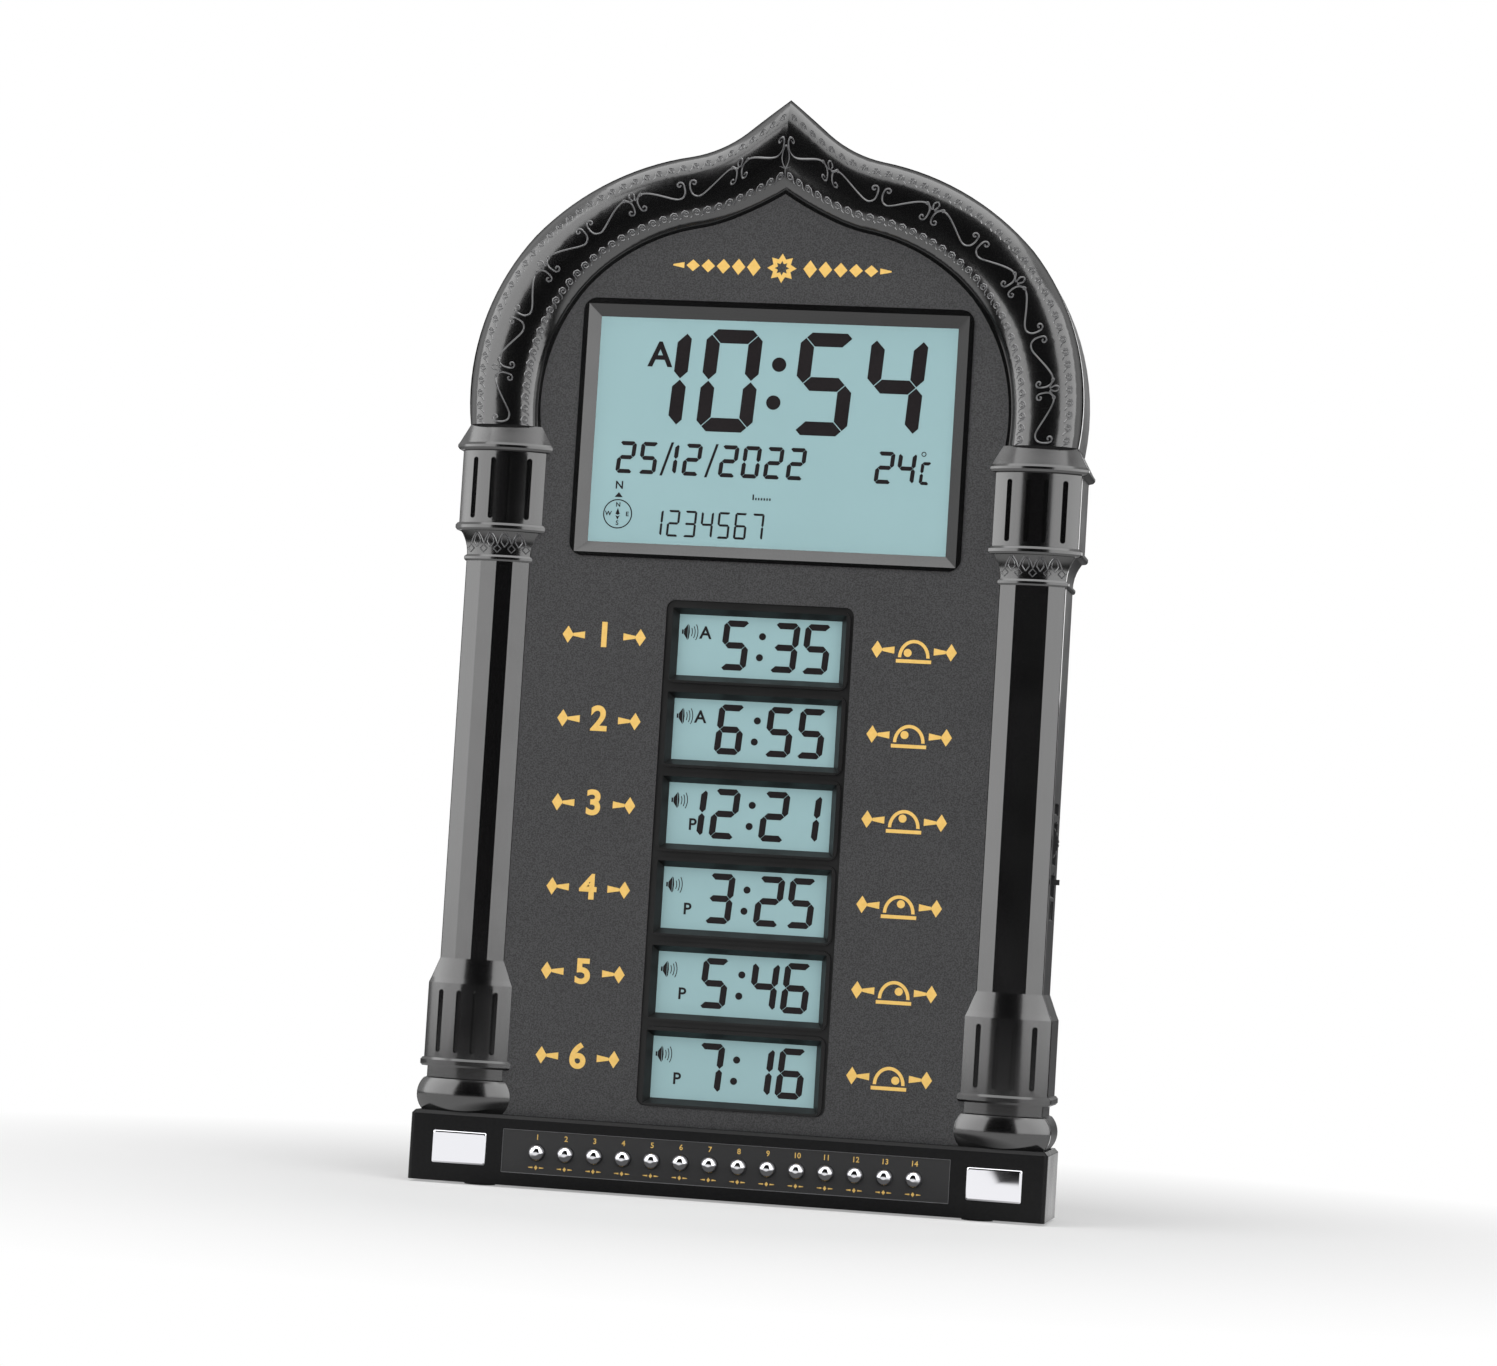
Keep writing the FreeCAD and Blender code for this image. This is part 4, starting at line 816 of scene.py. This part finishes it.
def strip_marks():
    """Numerals above the buttons, small signs below them, and a light line round the strip that is a
    painted highlight of its edge.
    """
    numerals = [(str(i + 1), button_x(i), CAPTION_Z, CAPTION_HIGH) for i in range(BUTTON_COUNT)]
    dressed(lettered("strip_numerals", numerals, STRIP_Y, CAPTION_BOLD), FINE_GOLD)
    shapes = []
    for i in range(BUTTON_COUNT):
        shapes.append(lozenge(button_x(i), SIGN_Z, *SIGN_LOZENGE))
        shapes += [side_bar(button_x(i), SIGN_Z, side, SIGN_BAR) for side in (-1, 1)]
    dressed(printed("strip_signs", shapes, STRIP_Y), FINE_GOLD)
    # Light line round the strip's edge, a painted highlight
    x0, z0, x1, z1 = STRIP
    border = [rectangle(x0, z0, x1, z1),
              rectangle(x0 + STRIP_HIGHLIGHT_WIDTH, z0 + STRIP_HIGHLIGHT_WIDTH, x1 - STRIP_HIGHLIGHT_WIDTH, z1 - STRIP_HIGHLIGHT_WIDTH)]
    dressed(printed("strip_painted_highlight_line", border, STRIP_Y), STRIP_EDGE_HIGHLIGHT)


def bezier(poles, t):
    s = 1 - t
    a, b, c, d = poles
    return a * s ** 3 + 3 * b * s * s * t + 3 * c * s * t * t + d * t ** 3


def relief_point(run, across):
    """Point of the arch's face: run 0 at the springing and 2 at the tip, across from the outer edge."""
    share = bezier(RELIEF_SHARES, across)
    span = 0 if run < 1 else 1
    t = run - span
    ends = list(zip(ARCH_OUTER, ARCH_INNER))[3 * span:3 * span + 4]
    x = bezier([o[0] + (i[0] - o[0]) * share for o, i in ends], t)
    z = bezier([o[1] + (i[1] - o[1]) * share for o, i in ends], t)
    return Vector((x, bezier(RELIEF_DEPTHS, across), z))


def run_table(across):
    """Lengths down from the tip along one line of the arch, with the run at each."""
    runs = [2 * (1 - i / RUN_STEPS) for i in range(RUN_STEPS + 1)]
    points = [relief_point(r, across) for r in runs]
    lengths = [0.0]
    for a, b in zip(points, points[1:]):
        lengths.append(lengths[-1] + (b - a).length)
    return lengths, runs


def run_at(table, length):
    """The run at a length down from the tip."""
    lengths, runs = table
    length = min(max(length, 0.0), lengths[-1])
    low, high = 0, len(lengths) - 1
    while high - low > 1:
        middle = (low + high) // 2
        if lengths[middle] <= length:
            low = middle
        else:
            high = middle
    share = (length - lengths[low]) / (lengths[high] - lengths[low])
    return runs[low] + (runs[high] - runs[low]) * share


def lay_on_arch(obj, across, table):
    """Flat ornament onto the right half: x runs down from the tip, y inwards, z stands proud."""
    step, fine = 0.02, 0.01
    for vertex in obj.data.vertices:
        along, inward, proud = (c / MM for c in vertex.co)
        run = run_at(table, along)
        span = relief_point(run, across + step) - relief_point(run, across - step)
        v = min(max(across + inward / (span.length / (2 * step)), step), 1 - step)
        here = relief_point(run, v)
        down, up = max(run - fine, 0.0), min(run + fine, 2.0)
        forward = relief_point(down, v) - relief_point(up, v)
        sideways = relief_point(run, v + fine) - relief_point(run, v - fine)
        outward = forward.cross(sideways).normalized()
        if outward.y > 0:
            outward = -outward
        vertex.co = (here + outward * proud) * MM
    return obj


def wires(name, lines, radius, flat=False):
    """Raised lines through given points. Flat ones are drawn straight from point to point."""
    curve = bpy.data.curves.new(name, "CURVE")
    curve.dimensions = "3D"
    curve.bevel_depth = radius * MM
    curve.bevel_resolution = 0
    curve.resolution_u = 4
    curve.use_fill_caps = True
    for line in lines:
        spline = curve.splines.new("POLY" if flat else "NURBS")
        spline.points.add(len(line) - 1)
        for point, (x, y) in zip(spline.points, line):
            point.co = (x * MM, y * MM, 0, 1)
        if not flat:
            spline.order_u = 4
            spline.use_endpoint_u = True
    obj = bpy.data.objects.new(name, curve)
    bpy.context.scene.collection.objects.link(obj)
    return to_mesh(obj)


def curl(x, y, radius, start, turns, points):
    """Spiral from its rim to its eye. Start and turns count full turns, and minus runs clockwise."""
    line = []
    for i in range(points):
        share = i / (points - 1)
        angle = 2 * math.pi * (start + turns * share)
        reach = radius * (1 - EYE_SHARE * share)
        line.append((x + reach * math.cos(angle), y + reach * math.sin(angle)))
    return line


def running_scroll(across, pitch, name):
    """Border of waves that each curl over into a spiral."""
    table = run_table(across)
    count = int(table[0][-1] / pitch)
    step = table[0][-1] / count
    lines = []
    for i in range(count):
        x = (i + 0.5) * step
        stem = [(x + step * 0.62, SCROLL_RADIUS * 0.95), (x + step * 0.42, SCROLL_RADIUS * 0.62)]
        lines.append(stem + curl(x, 0, SCROLL_RADIUS, 0.04, SCROLL_TURNS, 13))
    return faces_outward(lay_on_arch(wires(name, lines, FINE_LINE, flat=True), across, table))


def s_line(x, step, outer_first):
    """Vine stem from one node to the next, with a curl at each end on opposite sides."""
    first = list(reversed(curl(2.35, -2.0, 1.35, 0.5, 1.0, 9)))
    first += [(0.8, 0.1), (1.3, 1.9), (3.0, 3.0), (5.4, 2.5)]
    second = [(step - u, -v) for u, v in reversed(first)]
    sign = 1 if outer_first else -1
    return [(x + u, sign * v) for u, v in first + second]


def palmette(x, reach):
    """Three-lobed leaf that points to the outer edge."""
    stem = -LEAF_STEM
    middle = [(x - 0.2, stem), (x - 1.1, stem - reach * 0.45), (x - 0.7, stem - reach * 0.8),
              (x, stem - reach), (x + 0.7, stem - reach * 0.8), (x + 1.1, stem - reach * 0.45),
              (x + 0.2, stem)]
    lobe = [(0.4, -1.5), (1.6, -1.9), (2.4, -2.9), (3.1, -3.5), (3.4, -2.7), (2.8, -2.3)]
    return [middle] + [[(x + side * u, v) for u, v in lobe] for side in (-1, 1)]


def vine():
    """Middle vine: curled stems from node to node, with a palmette at every second node."""
    table = run_table(VINE_LINE)
    count = 2 * round(table[0][-1] / VINE_PITCH / 2)
    step = table[0][-1] / count
    stems, leaves = [], []
    for i in range(count):
        stems.append(s_line(i * step, step, i % 2 == 0))
        if i % 2 == 1:
            leaves += palmette(i * step, LEAF_REACH)
    pieces = [wires("vine_stems", stems, VINE_RADIUS),
              wires("vine_leaves", leaves, FINE_LINE)]
    return faces_outward(lay_on_arch(joined(pieces, "arch_vine_right"), VINE_LINE, table))


def section_place(share):
    """Where the arch's section reaches a share of its width."""
    low, high = 0.0, 1.0
    for _ in range(HALVINGS):
        middle = (low + high) / 2
        if bezier(RELIEF_SHARES, middle) < share:
            low = middle
        else:
            high = middle
    return low


def tip_palmette():
    """Tall leaf with a stem and two side curls under the arch's tip."""
    leaf = [(0, -3.6), (-1.5, -1.4), (-1.2, 1.8), (0, 5.4), (1.2, 1.8), (1.5, -1.4), (0, -3.6)]
    side_curl = [(0.4, -3.4), (2.2, -2.6), (3.9, -3.2), (4.4, -4.6), (3.5, -5.0)]
    lines = [leaf, [(0, -3.6), (0, -6.4)]]
    lines += [[(side * u, v) for u, v in side_curl] for side in (-1, 1)]
    obj = wires("tip_palmette", lines, FINE_LINE)
    outer_z, inner_z = ARCH_OUTER[-1][1], ARCH_INNER[-1][1]
    for vertex in obj.data.vertices:
        x, up, proud = (c / MM for c in vertex.co)
        z = TIP_LEAF_Z + up
        place = section_place((outer_z - z) / (outer_z - inner_z))
        vertex.co = Vector((x, bezier(RELIEF_DEPTHS, place) - proud, z)) * MM
    return faces_outward(obj)


def arch_ornament():
    # The raised lines are lighter grey than the moulding under them, a painted highlight
    for name, across, pitch in (("arch_outer_border", OUTER_BORDER, SCROLL_PITCH),
                                ("arch_inner_border", INNER_BORDER, INNER_PITCH)):
        right = running_scroll(across, pitch, name + "_right")
        left = copied(right, name + "_left", MIRROR_X)
        for obj in (right, left):
            dressed(obj, PAINTED_RIDGE_HIGHLIGHT, smooth=60)
    right = vine()
    left = copied(right, "arch_vine_left", MIRROR_X)
    for obj in (right, left, tip_palmette()):
        dressed(obj, PAINTED_RIDGE_HIGHLIGHT, smooth=60)


def neck_radius(z):
    """Distance of the neck's face from the axis of its turning, at a height."""
    for (z0, h0), (z1, h1) in zip(NECK, NECK[1:]):
        if z <= z1:
            half = h0 + (h1 - h0) * (z - z0) / (z1 - z0)
            return math.hypot(half - NECK_SINK, TURNING_AXIS)
    return math.hypot(NECK[-1][1] - NECK_SINK, TURNING_AXIS)


def neck_ornament(side):
    """Band of diamonds with pointed leaves over them, wrapped round a column's neck."""
    lines = []
    for i in range(-2, 3):
        x = i * NECK_PITCH
        lines.append([(x - 1.3, 213.7), (x, 212.4), (x + 1.3, 213.7), (x, 215.0), (x - 1.3, 213.7)])
    for i in range(-2, 2):
        x = (i + 0.5) * NECK_PITCH
        lines.append([(x, 214.2), (x - 1.2, 215.9), (x - 0.9, 217.3), (x, 218.8),
                      (x + 0.9, 217.3), (x + 1.2, 215.9), (x, 214.2)])
        for way in (-1, 1):
            lines.append([(x + way * NECK_PITCH / 2, 215.3), (x + way * 1.7, 217.2),
                          (x + way * 0.5, 219.0)])
    obj = wires(f"{side}_neck_ornament", lines, NECK_LINE, flat=True)
    centre = -COLUMN_X if side == "left" else COLUMN_X
    for vertex in obj.data.vertices:
        along, z, proud = (c / MM for c in vertex.co)
        radius = neck_radius(z)
        angle = along / radius
        reach = radius + proud
        vertex.co = Vector((centre + reach * math.sin(angle),
                            TURNING_Y - reach * math.cos(angle), z)) * MM
    # Lighter grey than the column's black, a painted highlight on the raised lines
    dressed(faces_outward(obj), PAINTED_RIDGE_HIGHLIGHT, smooth=60)


def softened(node, width, material=None):
    """Copy of a frame piece with its sharp edges rounded, which then stands for it."""
    source = frame["nodes"][node]
    obj = copied(source, node + "_finish", Matrix.Identity(4))
    for key in list(obj.keys()):
        if key.startswith("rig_"):
            del obj[key]
    obj.parent = None
    obj.hide_render = False
    take(obj)
    bpy.ops.object.mode_set(mode="EDIT")
    bpy.ops.mesh.select_all(action="SELECT")
    bpy.ops.mesh.remove_doubles(threshold=MERGE_REACH * MM)
    bpy.ops.mesh.dissolve_limited(angle_limit=math.radians(FLAT_ANGLE))
    bpy.ops.object.mode_set(mode="OBJECT")
    bevel = obj.modifiers.new("rounding", "BEVEL")
    bevel.width = width * MM
    bevel.segments = 3
    bevel.limit_method = "ANGLE"
    bevel.angle_limit = math.radians(EDGE_ANGLE)
    bpy.ops.object.modifier_apply(modifier=bevel.name)
    slot = next(p["material_slot"] for p in frame["record"]["subparts"] if p["node"] == node)
    body = next(b for b, members in frame["record"]["behaviour"]["bodies"].items()
                if node in members)
    dressed(obj, material or FINISHES[slot], smooth=EDGE_ANGLE, body=body)
    weighted = obj.modifiers.new("flat_faces", "WEIGHTED_NORMAL")
    weighted.keep_sharp = True
    take(obj)
    bpy.ops.object.modifier_apply(modifier=weighted.name)
    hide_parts(node)


def button_bodies():
    """The buttons' bodies from left to right."""
    names = [n for n in frame["record"]["behaviour"]["bodies"] if n.endswith("_button")]
    return sorted(names, key=lambda n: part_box(n)[0].x)


def chrome_buttons():
    """One turned chrome dome, copied onto each button's own body."""
    deselect()
    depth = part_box(button_bodies()[0])[1].y / MM - BUTTON_TIP
    bpy.ops.mesh.primitive_cylinder_add(vertices=40, radius=BUTTON_RADIUS * MM, depth=depth * MM,
                                        rotation=(math.pi / 2, 0, 0),
                                        location=(0, (BUTTON_TIP + depth / 2) * MM, 0))
    master = settle(named(bpy.context.object, "button_master"))
    take(master)
    bpy.ops.object.mode_set(mode="EDIT")
    bpy.ops.mesh.select_all(action="DESELECT")
    bpy.ops.object.mode_set(mode="OBJECT")
    for face in master.data.polygons:
        face.select = face.normal.y < -0.9
    for vertex in master.data.vertices:
        vertex.select = vertex.co.y < (BUTTON_TIP + 0.01) * MM
    bpy.ops.object.mode_set(mode="EDIT")
    bpy.ops.mesh.select_mode(type="FACE")
    bpy.ops.mesh.bevel(offset=BUTTON_ROUNDING * MM, segments=9, profile=0.5, affect="EDGES")
    bpy.ops.object.mode_set(mode="OBJECT")
    for name in button_bodies():
        node_low, node_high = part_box(name)
        centre = (node_low + node_high) / 2 / MM
        button = copied(master, name + "_dome", moved(centre.x, 0, centre.z))
        dressed(button, FINISHES["button_chrome"], smooth=50, body=name)
        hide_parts(name)
    bpy.data.objects.remove(master)


def screw_head(back):
    """Rounded head with a cut cross, whose top lies at the depth back."""
    deselect()
    bpy.ops.mesh.primitive_cylinder_add(vertices=32, radius=HEAD_RADIUS * MM,
                                        depth=HEAD_HIGH * MM, rotation=(math.pi / 2, 0, 0),
                                        location=(0, (back - HEAD_HIGH / 2) * MM, 0))
    head = settle(named(bpy.context.object, "screw_master"))
    bevel = head.modifiers.new("rounding", "BEVEL")
    bevel.width = HEAD_ROUNDING * MM
    bevel.segments = 4
    bevel.limit_method = "ANGLE"
    take(head)
    bpy.ops.object.modifier_apply(modifier=bevel.name)
    for turn in (0, math.pi / 2):
        deselect()
        bpy.ops.mesh.primitive_cube_add(size=1, location=(0, back * MM, 0), rotation=(0, turn, 0),
                                        scale=[length * MM for length in CROSS_CUT])
        cutter = settle(bpy.context.object)
        cross = head.modifiers.new("cross", "BOOLEAN")
        cross.operation = "DIFFERENCE"
        cross.object = cutter
        take(head)
        bpy.ops.object.modifier_apply(modifier=cross.name)
        bpy.data.objects.remove(cutter)
    return head


def case_screw_heads():
    """Cross-head screws in the back, each with a plain shank."""
    low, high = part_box("case_screws")
    front, back = low.y / MM, high.y / MM
    head = screw_head(back)
    deselect()
    shank = back - HEAD_HIGH - front
    bpy.ops.mesh.primitive_cylinder_add(vertices=16, radius=SHANK_RADIUS * MM, depth=shank * MM,
                                        rotation=(math.pi / 2, 0, 0),
                                        location=(0, (front + shank / 2) * MM, 0))
    rod = settle(bpy.context.object)
    master = joined([head, rod], "screw_master")
    screws = [copied(master, f"case_screw_{i}", moved(x, 0, z))
              for i, (x, z) in enumerate(CASE_SCREWS)]
    bpy.data.objects.remove(master)
    screws = dressed(joined(screws, "case_screw_heads"), FINISHES["bright_steel"],
                     smooth=30)
    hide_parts("case_screws")


add_camera()
add_world()
add_floor()
add_lights()
dress_frame()
main_display()
prayer_displays()
panel_marks()
strip_marks()
arch_ornament()
neck_ornament("left")
neck_ornament("right")
softened("base_housing", BASE_ROUNDING, material=BASE_GLOSS)
softened("left_mirror_plate", PLATE_ROUNDING)
softened("right_mirror_plate", PLATE_ROUNDING)
chrome_buttons()
case_screw_heads()
bpy.context.scene.view_settings.view_transform = "Standard"
